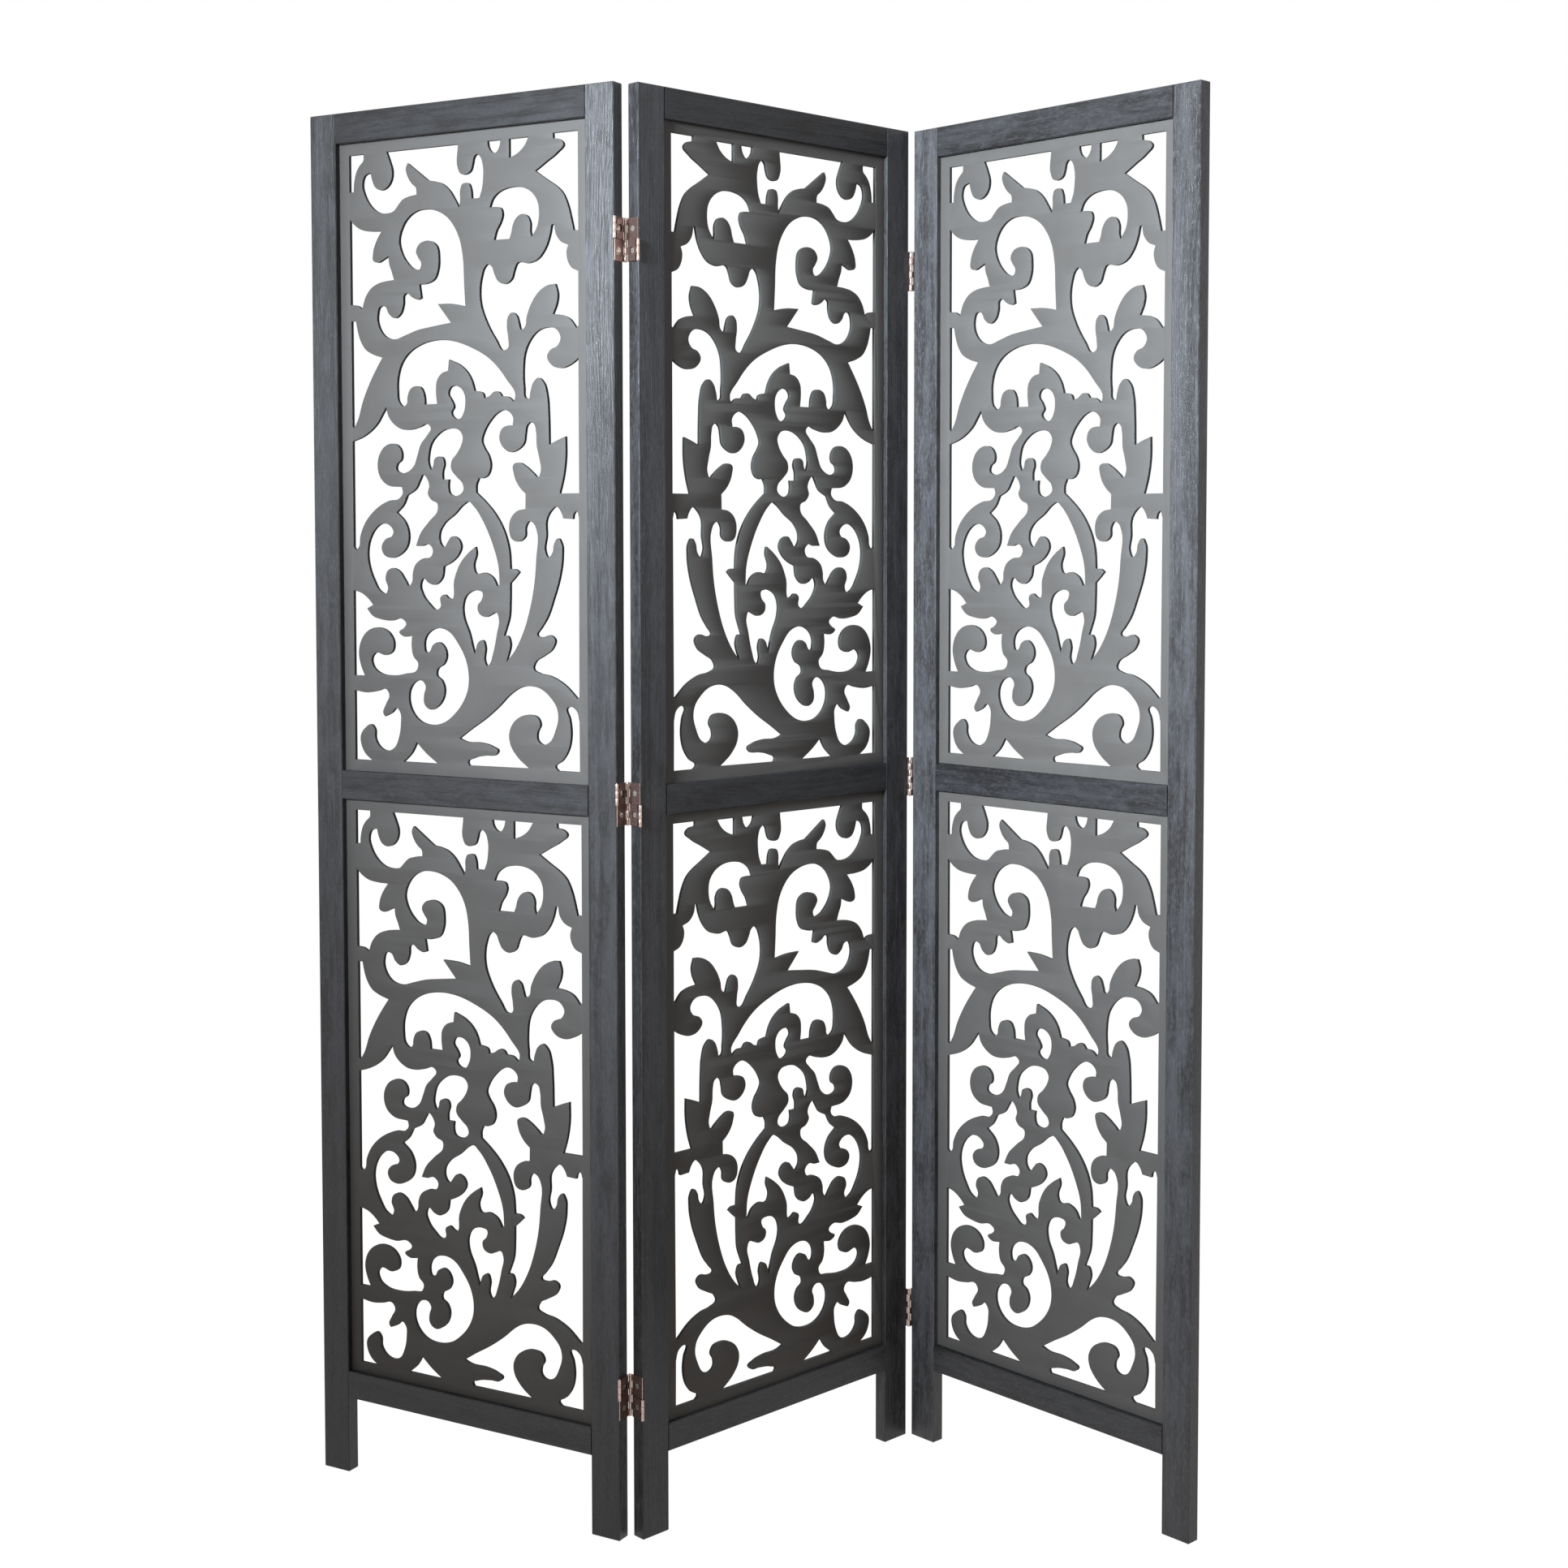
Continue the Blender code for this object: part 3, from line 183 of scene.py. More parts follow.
        (54, 872, 1), (110, 875), (150, 872), (190, 869), (201, 877), (187, 892), (175, 907),
        (182, 912, 1), (210, 906), (234, 898), (247, 905), (249, 922), (240, 945), (222, 961), (192, 967),
        (160, 962), (140, 949), (137, 933), (123, 926), (97, 932), (78, 944), (80, 959), (96, 973),
        (127, 984, 1), (54, 984, 1)),
    "bottom_peak": (
        (260, 983, 1), (292, 969), (315, 951, 1), (350, 966), (402, 983, 1)),
    "bottom_scroll": (
        (492, 941, 1), (535, 927), (595, 909), (650, 889), (700, 868), (738, 858), (775, 855), (815, 858),
        (855, 871), (880, 887), (885, 902), (875, 920), (850, 940), (825, 944), (804, 937), (804, 925),
        (815, 914), (805, 903), (775, 899), (740, 902), (708, 913), (692, 930), (697, 947), (722, 964),
        (770, 982, 1), (530, 983, 1), (525, 978), (550, 971), (600, 966), (640, 963), (647, 958),
        (625, 951), (580, 946), (515, 945)),
    "bottom_right_fin": (
        (920, 886), (936, 884), (956, 890), (967, 906, 1), (968, 983, 1), (884, 983, 1), (873, 978),
        (900, 967), (923, 951), (934, 928), (929, 903)),
}

Point = tuple[float, float]
Triple = tuple[float, float, float]
Colour = tuple[float, float, float]
Shape = bmesh.types.BMesh
Node = bpy.types.Node
Socket = bpy.types.NodeSocket
Material = bpy.types.Material

# Places of the colour mix's sockets (factor, first, second and result) among those of a Mix node.
MIX_COLOUR_INPUTS = (0, 6, 7)
MIX_COLOUR_OUTPUT = 2


class PanelSide(Enum):
    """The three panels, left to right as seen from the front."""

    LEFT = "left_panel"
    MIDDLE = "middle_panel"
    RIGHT = "right_panel"


class Level(Enum):
    """The three hinges of one line."""

    LOW = "low"
    MIDDLE = "middle"
    HIGH = "high"


class Grain(Enum):
    """Which way the wood's grain runs in a frame piece."""

    UPRIGHT = "upright"
    LEVEL = "level"


@dataclass(frozen=True)
class PanelSizes:
    """Sizes of one panel, in metres."""

    width: float = 0.450
    thickness: float = 0.018
    stile: float = 0.040
    leg: float = 0.0955
    bottom_rail: float = 0.034
    middle_rail: float = 0.036
    top_rail: float = 0.037
    lower_opening: float = 0.726
    height: float = 1.700
    board: float = 0.0045
    board_recess: float = 0.0077
    board_reach: float = 0.0072
    board_ease: float = 0.0003

    def opening_spans(self) -> dict[str, Point]:
        """Bottom and top of the two light openings.

        Returns:
            The heights by board name.
        """
        low = self.leg + self.bottom_rail
        middle = low + self.lower_opening
        return {"lower": (low, middle), "upper": (middle + self.middle_rail, self.height - self.top_rail)}


@dataclass(frozen=True)
class HingeSizes:
    """Sizes of one two-way hinge, in metres, about the middle of the gap."""

    gap: float = 0.0046
    standoff: float = 0.0023
    height: float = 0.050
    leaf: float = 0.0009
    fit: float = 0.0003
    knuckle: float = 0.00195
    knuckle_gap: float = 0.0003
    knuckle_ease: float = 0.00015
    bands: int = 6
    lower_bands: tuple[int, int, int] = (0, 1, 2)
    upper_bands: tuple[int, int, int] = (3, 4, 5)
    sides: int = 28
    pin_head: float = 0.0013
    pin_stand: float = 0.0006
    pin_ease: float = 0.00048
    strap: float = 0.0009
    tongue: float = 0.0048
    hole: float = 0.0042
    hole_sides: int = 36
    screw_head: float = 0.0031
    screw_neck: float = 0.001705
    screw_rim: float = 0.00124
    screw_dome: float = 0.00022
    screw_slot: float = 0.00055
    screw_slot_length: float = 0.0036
    screw_sink: float = 0.0007

    def band(self, index: int) -> Point:
        """Bottom and top of one knuckle band.

        Args:
            index: Band number, counted from the bottom.

        Returns:
            The two heights about the hinge's middle.
        """
        length = (self.height - (self.bands - 1) * self.knuckle_gap) / self.bands
        low = index * (length + self.knuckle_gap) - self.height / 2.0
        return low, low + length

    def half(self, is_upper: bool) -> tuple[int, int, int]:
        """The three bands of the hinge's upper or lower half, counted upwards."""
        return self.upper_bands if is_upper else self.lower_bands

    def axis_y(self, is_front: bool, thickness: float) -> float:
        """Depth of a pivot line behind the panel's front face."""
        return -self.standoff if is_front else thickness + self.standoff


@dataclass(frozen=True)
class Place:
    """Where a panel stands: its heading in degrees and a point of it that lies on a joint's axis."""

    heading: float
    joint: str
    anchor: Point

    def matrix(self) -> Matrix:
        """Matrix from the panel's own frame to the part's frame.

        Returns:
            The rigid transform.
        """
        joint = next(row for row in frame["joints"] if row["name"] == self.joint)
        turn = Matrix.Rotation(math.radians(self.heading), 4, "Z")
        corner = Vector((joint["pos_m"][0], joint["pos_m"][1], 0.0))
        corner -= turn @ Vector((self.anchor[0], self.anchor[1], 0.0))
        return Matrix.Translation(corner) @ turn


PANEL = PanelSizes()
HINGE = HingeSizes()
MIDDLE_HEADING = 44.75
LEFT_HEADING = MIDDLE_HEADING - 72.98
RIGHT_HEADING = MIDDLE_HEADING - 90.41
HINGE_LEVELS = {Level.LOW: 0.170, Level.MIDDLE: 0.871, Level.HIGH: 1.522}
PLACES = {
    PanelSide.LEFT: Place(LEFT_HEADING, "left_reverse", (PANEL.width + HINGE.gap / 2.0, -HINGE.standoff)),
    PanelSide.MIDDLE: Place(MIDDLE_HEADING, "left_lower_strap_turn", (-HINGE.gap / 2.0, -HINGE.standoff)),
    PanelSide.RIGHT: Place(
        RIGHT_HEADING, "right_reverse", (-HINGE.gap / 2.0, PANEL.thickness + HINGE.standoff)),
}


def link(obj: bpy.types.Object) -> bpy.types.Object:
    """Adds an object to the scene and returns it."""
    bpy.context.scene.collection.objects.link(obj)
    return obj


def evaluated_shape(obj: bpy.types.Object) -> Shape:
    """The shape that an object's curve or modifiers come out as.

    Args:
        obj: The object.

    Returns:
        A new bmesh.
    """
    bpy.context.view_layer.update()
    mesh = bpy.data.meshes.new_from_object(obj.evaluated_get(bpy.context.evaluated_depsgraph_get()))
    bm = bmesh.new()
    bm.from_mesh(mesh)
    bpy.data.meshes.remove(mesh)
    return bm


def mesh_object(name: str, bm: Shape, materials: Iterable[Material],
                smooth_angle: float = 40.0) -> bpy.types.Object:
    """Makes an object of a bmesh and frees the bmesh.

    Args:
        name: Name of the piece.
        bm: Its shape, in the part's frame.
        materials: Its material slots in order.
        smooth_angle: Edges under this angle, in degrees, are shaded smooth.

    Returns:
        The linked object at the origin.
    """
    mesh = bpy.data.meshes.new(name)
    bm.to_mesh(mesh)
    bm.free()
    for material in materials:
        mesh.materials.append(material)
    mesh.shade_smooth()
    mesh.set_sharp_from_angle(angle=math.radians(smooth_angle))
    return link(bpy.data.objects.new(name, mesh))


def settle(piece: bpy.types.Object, body: str, slot: str, *nodes: str) -> None:
    """Rides a piece on its body and lets it stand for its CAD nodes.

    Args:
        piece: The finished piece.
        body: The CAD body that carries it.
        slot: The record's material slot, which is not used.
        nodes: CAD nodes that the piece replaces.
    """
    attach(piece, body)
    if nodes:
        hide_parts(*nodes)
    LOG.info("%s: %d faces on %s", piece.name, len(piece.data.polygons), body)


@dataclass(frozen=True)
class Layer:
    """One noise of a pattern.

    Attributes:
        stretch: Scale along X, Y and Z, or None for an even pattern.
        detail: Octaves of the noise.
        roughness: How much of each octave the next one keeps.
        distortion: How far the noise is bent.
        scale: Scale of the noise over its coordinates.
        span: Values that become the two ends, or None for the plain noise.
        ends: What the span's two values become.
    """

    stretch: Triple | None
    detail: float
    roughness: float = 0.5
    distortion: float = 0.0
    scale: float = 1.0
    span: Point | None = None
    ends: Point = (0.0, 1.0)


class Nodes:
    """Short hand for one shader or group node tree."""

    def __init__(self, tree: bpy.types.NodeTree) -> None:
        """Keeps the tree."""
        self.tree = tree

    def add(self, kind: str, **values: object) -> Node:
        """Adds a node and sets its properties.

        Args:
            kind: Node type name.
            values: Node properties.

        Returns:
            The new node.
        """
        node = self.tree.nodes.new(kind)
        for key, value in values.items():
            setattr(node, key, value)
        return node

    def wire(self, source: Socket, target: Socket) -> None:
        """Links two sockets."""
        self.tree.links.new(source, target)

    def feed(self, node: Node, *places: object, **inputs: object) -> Node:
        """Sets or links a node's inputs.

        Args:
            node: The node.
            places: A socket to link or a plain value for each of the first inputs, in their order.
            inputs: The same by input name, with underscores for spaces.

        Returns:
            The same node.
        """
        pairs = list(zip(node.inputs, places))
        pairs += [(node.inputs[key.replace("_", " ")], value) for key, value in inputs.items()]
        for socket, value in pairs:
            if isinstance(value, Socket):
                self.wire(value, socket)
            else:
                socket.default_value = value
        return node

    def maths(self, kind: str, first: Socket | float, second: Socket | float) -> Socket:
        """Adds a math node of a kind and returns its value."""
        return self.feed(self.add("ShaderNodeMath", operation=kind), first, second).outputs["Value"]

    def times(self, first: Socket | float, second: Socket | float) -> Socket:
        """Multiplies two values."""
        return self.maths("MULTIPLY", first, second)

    def plus(self, first: Socket | float, second: Socket | float) -> Socket:
        """Adds two values."""
        return self.maths("ADD", first, second)

    def offset(self, vector: Socket, **shift: Socket) -> Socket:
        """Moves coordinates along the axes that are named.

        Args:
            vector: The coordinates.
            shift: The way to go by axis, X, Y or Z.

        Returns:
            The moved coordinates.
        """
        way = self.feed(self.add("ShaderNodeCombineXYZ"), **shift)
        moved = self.add("ShaderNodeVectorMath", operation="ADD")
        return self.feed(moved, vector, way.outputs["Vector"]).outputs["Vector"]

    def stretch(self, vector: Socket, scale: Triple) -> Socket:
        """Scales coordinates unevenly and returns them."""
        return self.feed(self.add("ShaderNodeMapping"), Vector=vector, Scale=scale).outputs["Vector"]

    def band(self, value: Socket, low: Socket | float, high: Socket | float, start: float = 0.0,
             end: float = 1.0) -> Socket:
        """Maps a value's range to another with its ends clamped.

        Args:
            value: The value.
            low: Where the range begins.
            high: Where the range ends.
            start: What its beginning becomes.
            end: What its end becomes.

        Returns:
            The mapped value.
        """
        node = self.add("ShaderNodeMapRange", clamp=True)
        self.feed(node, Value=value, From_Min=low, From_Max=high, To_Min=start, To_Max=end)
        return node.outputs["Result"]

    def noise(self, vector: Socket, layer: Layer) -> Socket:
        """Adds a noise and maps the span that its layer names.

        Args:
            vector: The coordinates.
            layer: The noise.

        Returns:
            Its value.
        """
        if layer.stretch is not None:
            vector = self.stretch(vector, layer.stretch)
        node = self.add("ShaderNodeTexNoise")
        self.feed(node, Vector=vector, Scale=layer.scale, Detail=layer.detail, Roughness=layer.roughness,
                  Distortion=layer.distortion)
        value = node.outputs["Fac"]
        return value if layer.span is None else self.band(value, *layer.span, *layer.ends)

    def blend(self, factor: Socket | float, first: Socket | Colour, second: Socket | Colour) -> Socket:
        """Mixes two colours.

        Args:
            factor: Share of the second colour.
            first: The first colour.
            second: The second colour.

        Returns:
            The mixed colour.
        """
        node = self.add("ShaderNodeMix", data_type="RGBA")
        for index, value in zip(MIX_COLOUR_INPUTS, (factor, first, second)):
            if isinstance(value, Socket):
                self.wire(value, node.inputs[index])
            else:
                node.inputs[index].default_value = (*value, 1.0) if isinstance(value, tuple) else value
        return node.outputs[MIX_COLOUR_OUTPUT]

    def cover(self, colour: Socket, mask: Socket, share: float, top: Socket | Colour) -> Socket:
        """Lays a share of a top colour over another where the mask says."""
        return self.blend(self.times(mask, share), colour, top)

    def seen_plain(self) -> Socket:
        """One for rays that show the background: from the camera, in reflections and through glass.

        Returns:
            The value, which is zero for rays that only light things.
        """
        path = self.add("ShaderNodeLightPath").outputs
        seen = self.maths("MAXIMUM", path["Is Camera Ray"], path["Is Glossy Ray"])
        return self.maths("MAXIMUM", seen, path["Is Transmission Ray"])


def new_group(name: str, inputs: tuple[str, ...], outputs: tuple[str, ...]) -> tuple[Nodes, Node, Node]:
    """Starts a shader node group, whose sockets are values but for Vector.

    Args:
        name: Group name.
        inputs: Input names.
        outputs: Output names.

    Returns:
        The group's tree, its input node and its output node.
    """
    group = bpy.data.node_groups.new(name, "ShaderNodeTree")
    for way, labels in (("INPUT", inputs), ("OUTPUT", outputs)):
        for label in labels:
            kind = "NodeSocketVector" if label == "Vector" else "NodeSocketFloat"
            group.interface.new_socket(label, in_out=way, socket_type=kind)
    tree = Nodes(group)
    return tree, tree.add("NodeGroupInput"), tree.add("NodeGroupOutput")


@dataclass(frozen=True)
class WoodGrain:
    """Wood grain that runs along Z: broad figure, fine streaks, open pores and pale flecks."""

    bend: Layer = Layer((6.0, 6.0, 1.6), 2.0, span=(0.2, 0.8), ends=(-0.012, 0.012))
    figure: Layer = Layer((60.0, 45.0, 1.8), 4.0, 0.55, 0.4)
    mottle: Layer = Layer((75.0, 75.0, 20.0), 4.0, 0.6, 0.6)
    mottle_share: float = 0.5
    figure_span: Point = (0.425, 0.575)
    streaks: Layer = Layer((620.0, 380.0, 7.0), 4.0, 0.6, 0.15)
    streak_span: Point = (0.30, 0.70)
    streak_relief: float = 0.35
    fibres: Layer = Layer((1100.0, 900.0, 9.0), 2.0)
    pores: Layer = Layer((1700.0, 900.0, 46.0), 2.0, span=(0.60, 0.70))
    pore_places: Layer = Layer((9.0, 9.0, 3.0), 2.0, span=(0.35, 0.65), ends=(0.25, 1.0))
    pore_relief: float = 0.5
    flecks: Layer = Layer((420.0, 420.0, 150.0), 3.0, 0.65, span=(0.50, 0.66))

    def group(self) -> bpy.types.NodeTree:
        """Builds the shared node group.

        Returns:
            The node group.
        """
        tree, source, sink = new_group(
            "wood_grain", ("Vector", "Seed"), ("Figure", "Streaks", "Pores", "Height", "Flecks"))
        seed = source.outputs["Seed"]
        place = tree.offset(source.outputs["Vector"], X=seed, Z=seed)
        along = tree.offset(place, X=tree.noise(place, self.bend))
        both = tree.plus(tree.noise(along, self.figure), tree.noise(place, self.mottle))
        figure = tree.times(both, self.mottle_share)
        streaks = tree.noise(along, self.streaks)
        fibres = tree.noise(along, self.fibres)
        pores = tree.times(tree.noise(along, self.pores), tree.noise(place, self.pore_places))
        raised = tree.plus(fibres, tree.times(streaks, self.streak_relief))
        tree.feed(
            sink, Figure=tree.band(figure, *self.figure_span), Streaks=tree.band(streaks, *self.streak_span),
            Pores=pores, Height=tree.maths("SUBTRACT", raised, tree.times(pores, self.pore_relief)),
            Flecks=tree.noise(place, self.flecks))
        return tree.tree


@dataclass(frozen=True)
class HandlingMarks:
    """Marks of use: faint smudges, specks of dust, and pale chips that gather near the floor."""

    smudges: Layer = Layer((5.0, 5.0, 3.0), 4.0, 0.6, 0.8, span=(0.42, 0.72))
    chip_stretch: Triple = (1.0, 1.0, 0.7)
    chip_scale: float = 95.0
    chip_span: Point = (0.045, 0.085)
    bare_cells: float = 0.955
    high_chips: float = 0.05
    specks: Layer = Layer(None, 2.0, scale=900.0, span=(0.69, 0.76))
    dusty_places: Layer = Layer(None, 2.0, scale=11.0, span=(0.4, 0.7))

    def group(self) -> bpy.types.NodeTree:
        """Builds the shared node group.

        Returns:
            The node group.
        """
        tree, source, sink = new_group(
            "handling_marks", ("Vector", "Chip Height"), ("Smudge", "Chips", "Dust"))
        place = source.outputs["Vector"]
        cells = tree.add("ShaderNodeTexVoronoi", feature="F1")
        tree.feed(cells, Vector=tree.stretch(place, self.chip_stretch), Scale=self.chip_scale, Randomness=1.0)
        near = tree.band(cells.outputs["Distance"], *self.chip_span, 1.0, 0.0)
        pick = tree.feed(tree.add("ShaderNodeSeparateColor"), Color=cells.outputs["Color"])
        rare = tree.maths("GREATER_THAN", pick.outputs["Red"], self.bare_cells)
        height = tree.feed(tree.add("ShaderNodeSeparateXYZ"), Vector=place).outputs["Z"]
        low = tree.band(height, 0.0, source.outputs["Chip Height"], 1.0, self.high_chips)
        tree.feed(
            sink, Smudge=tree.noise(place, self.smudges), Chips=tree.times(tree.times(near, rare), low),
            Dust=tree.times(tree.noise(place, self.specks), tree.noise(place, self.dusty_places)))
        return tree.tree


@dataclass(frozen=True)
class MetalPatina:
    """Patina of plated metal: dark blotches, worn bright spots and fine brushing."""

    dark: Layer = Layer(None, 4.0, 0.6, 0.6, scale=420.0, span=(0.34, 0.72))
    worn: Layer = Layer(None, 3.0, 0.6, scale=700.0, span=(0.60, 0.80))
    brushing: Layer = Layer((9000.0, 9000.0, 500.0), 2.0)

    def group(self) -> bpy.types.NodeTree:
        """Builds the shared node group.

        Returns:
            The node group.
        """
        tree, source, sink = new_group("metal_patina", ("Vector",), ("Dark", "Worn", "Brushing"))
        place = source.outputs["Vector"]
        tree.feed(sink, Dark=tree.noise(place, self.dark), Worn=tree.noise(place, self.worn),
                  Brushing=tree.noise(place, self.brushing))
        return tree.tree


@dataclass(frozen=True)
class Groups:
    """The shared node groups."""

    grain: bpy.types.NodeTree
    marks: bpy.types.NodeTree
    patina: bpy.types.NodeTree


class Surface(Nodes):
    """Node tree of one material, with its Principled BSDF and its coordinates."""

    def __init__(self, name: str, turn: Matrix | None = None) -> None:
        """Starts the material with Object coordinates.

        Args:
            name: Material name.
            turn: Rotation from the part's frame to the pattern's, if it needs one.
        """
        self.material = bpy.data.materials.new(name)
        self.material.use_nodes = True
        super().__init__(self.material.node_tree)
        self.shader = self.tree.nodes["Principled BSDF"]
        self.level = self.place = self.add("ShaderNodeTexCoord").outputs["Object"]
        if turn is not None:
            mapping = self.feed(self.add("ShaderNodeMapping"), Vector=self.level,
                                Rotation=turn.to_euler("XYZ"))
            self.place = mapping.outputs["Vector"]

    def group(self, group: bpy.types.NodeTree, **inputs: object) -> bpy.types.bpy_prop_collection:
        """Puts a node group in the material, feeds it and returns its outputs."""
        return self.feed(self.add("ShaderNodeGroup", node_tree=group), **inputs).outputs

    def finish(self, colour: Socket, roughness: Socket | float, height: Socket, relief: Point,
               **values: float) -> Material:
        """Feeds the Principled BSDF.

        Args:
            colour: Its base colour.
            roughness: Its roughness.
            height: Height of its small relief, from 0 to 1.
            relief: The relief's depth in metres and its strength.
            values: Plain values of other inputs, with underscores for spaces.

        Returns:
            The material.
        """
        bump = self.feed(self.add("ShaderNodeBump"), Height=height, Distance=relief[0], Strength=relief[1])
        self.feed(self.shader, Base_Color=colour, Roughness=roughness, Normal=bump.outputs["Normal"],
                  **values)
        return self.material


@dataclass(frozen=True)
class StainedWood:
    """Black stain on open-grained light wood under thin satin lacquer."""

    deep: Colour = (0.0125, 0.0110, 0.0108)
    pale: Colour = (0.063, 0.063, 0.068)
    pore: Colour = (0.010, 0.010, 0.012)
    chip: Colour = (0.42, 0.36, 0.30)
    gloss: Point = (0.30, 0.41)
    relief: Point = (0.00045, 0.8)
    # Share of the colour that level-grain rails keep: painted shade for the sheen that their grain doesn't
    # catch.
    level_painted_shade: float = 0.68
    streak_share: float = 0.36
    pore_share: float = 0.7
    pore_gloss: float = 0.15
    smudge_share: float = 0.25
    dust_tone: float = 2.0
    dust_share: float = 0.5
    fleck_share: float = 0.30
    fleck_gloss: float = -0.08
    chip_height: float = 0.10
    specular: float = 0.34

    def material(self, name: str, groups: Groups, heading: float, grain: Grain, seed: float,
                 painted_light_tone: float) -> Material:
        """Builds the finish for one frame piece.

        Args:
            name: Material name.
            groups: The shared node groups.
            heading: The panel's heading in degrees.
            grain: Which way the grain runs.
            seed: Shift of the pattern, so that no two pieces match.
            painted_light_tone: How much paler or darker this piece is painted, painted light and shade for
                how light falls on it, where 1 is the usual.

        Returns:
            The material.
        """
        turn = Matrix.Rotation(math.radians(-heading), 3, "Z")
        # Rails are painted darker here, a painted shade.
        if grain is Grain.LEVEL:
            turn = Matrix.Rotation(math.radians(90.0), 3, "Y") @ turn
            painted_light_tone *= self.level_painted_shade
        pale = tuple(painted_light_tone * share for share in self.pale)
        dust = tuple(self.dust_tone * share for share in pale)
        tree = Surface(name, turn)
        wood = tree.group(groups.grain, Vector=tree.place, Seed=seed)
        marks = tree.group(groups.marks, Vector=tree.level, Chip_Height=self.chip_height)
        mixed = tree.plus(tree.times(wood["Figure"], 1.0 - self.streak_share),
                          tree.times(wood["Streaks"], self.streak_share))
        colour = tree.blend(mixed, tuple(painted_light_tone * share for share in self.deep), pale)
        for mask, share, top in (
                (wood["Pores"], self.pore_share, self.pore), (marks["Smudge"], self.smudge_share, pale),
                (wood["Flecks"], self.fleck_share, dust), (marks["Dust"], self.dust_share, dust)):
            colour = tree.cover(colour, mask, share, top)
        colour = tree.blend(marks["Chips"], colour, self.chip)
        rough = tree.band(mixed, 0.0, 1.0, *self.gloss)
        rough = tree.plus(rough, tree.times(wood["Pores"], self.pore_gloss))
        rough = tree.plus(rough, tree.times(wood["Flecks"], self.fleck_gloss))
        return tree.finish(colour, rough, wood["Height"], self.relief, Specular_IOR_Level=self.specular)


@dataclass(frozen=True)
class PaintedBoard:
    """Thin fibre board sprayed matt charcoal, with a darker cut edge."""

    face: Colour = (0.110, 0.104, 0.098)
    smudged: Colour = (0.154, 0.145, 0.137)
    dust: Colour = (0.30, 0.30, 0.29)
    edge: Colour = (0.028, 0.030, 0.029)
    gloss: Point = (0.54, 0.59)
    mottle: Layer = Layer(None, 5.0, 0.6, scale=34.0, span=(0.3, 0.7))
    mottle_share: float = 0.25
    smudge_share: float = 0.25
    dust_share: float = 0.5
    peel: Layer = Layer(None, 3.0, 0.6, scale=1400.0)
    relief: Point = (0.00006, 0.6)
    specular: float = 0.25
    fibres: Layer = Layer(None, 4.0, 0.7, scale=700.0, span=(0.3, 0.7))
    fibre_tone: float = 2.0
    edge_relief: Point = (0.00006, 1.0)
    edge_roughness: float = 0.85

    def face_material(self, name: str, groups: Groups) -> Material:
        """Builds the sprayed face.

        Args:
            name: Material name.
            groups: The shared node groups.

        Returns:
            The material.
        """
        tree = Surface(name)
        marks = tree.group(groups.marks, Vector=tree.place, Chip_Height=PANEL.leg)
        mottle = tree.noise(tree.place, self.mottle)
        colour = tree.blend(tree.times(mottle, self.mottle_share), self.face, self.smudged)
        colour = tree.cover(colour, marks["Smudge"], self.smudge_share, self.smudged)
        colour = tree.cover(colour, marks["Dust"], self.dust_share, self.dust)
        rough = tree.band(mottle, 0.0, 1.0, *self.gloss)
        return tree.finish(colour, rough, tree.noise(tree.place, self.peel), self.relief,
                           Specular_IOR_Level=self.specular)

    def edge_material(self, name: str) -> Material:
        """Builds the cut edge, fuzzy with fibres that soak up paint.

        Args:
            name: Material name.

        Returns:
            The material.
        """
        tree = Surface(name)
        fibres = tree.noise(tree.place, self.fibres)
        colour = tree.blend(fibres, self.edge, tuple(self.fibre_tone * share for share in self.edge))
        return tree.finish(colour, self.edge_roughness, fibres, self.edge_relief)


@dataclass(frozen=True)
class PlatedMetal:
    """Plated steel with a patina."""

    bright: Colour
    dark: Colour
    worn: Colour
    gloss: Point
    metallic: float
    worn_share: float = 0.8
    relief: Point = (0.00002, 0.4)

    def material(self, name: str, groups: Groups) -> Material:
        """Builds the metal.

        Args:
            name: Material name.
            groups: The shared node groups.

        Returns:
            The material.
        """
        tree = Surface(name)
        patina = tree.group(groups.patina, Vector=tree.place)
        colour = tree.blend(patina["Dark"], self.bright, self.dark)
        colour = tree.cover(colour, patina["Worn"], self.worn_share, self.worn)
        rough = tree.band(patina["Dark"], 0.0, 1.0, *self.gloss)
        return tree.finish(colour, rough, patina["Brushing"], self.relief, Metallic=self.metallic)


COPPER = PlatedMetal((0.205, 0.132, 0.114), (0.085, 0.054, 0.046), (0.40, 0.29, 0.25), (0.30, 0.44), 0.55)
# A paler, near-white copper for knuckles, pins and leaves' front edges: painted highlight.
HIGHLIGHT_COPPER = PlatedMetal((0.64, 0.48, 0.42), (0.34, 0.24, 0.20), (0.90, 0.83, 0.79), (0.22, 0.36), 0.80)
ZINC = PlatedMetal((0.66, 0.66, 0.59), (0.38, 0.37, 0.32), (0.86, 0.86, 0.80), (0.26, 0.42), 0.70)


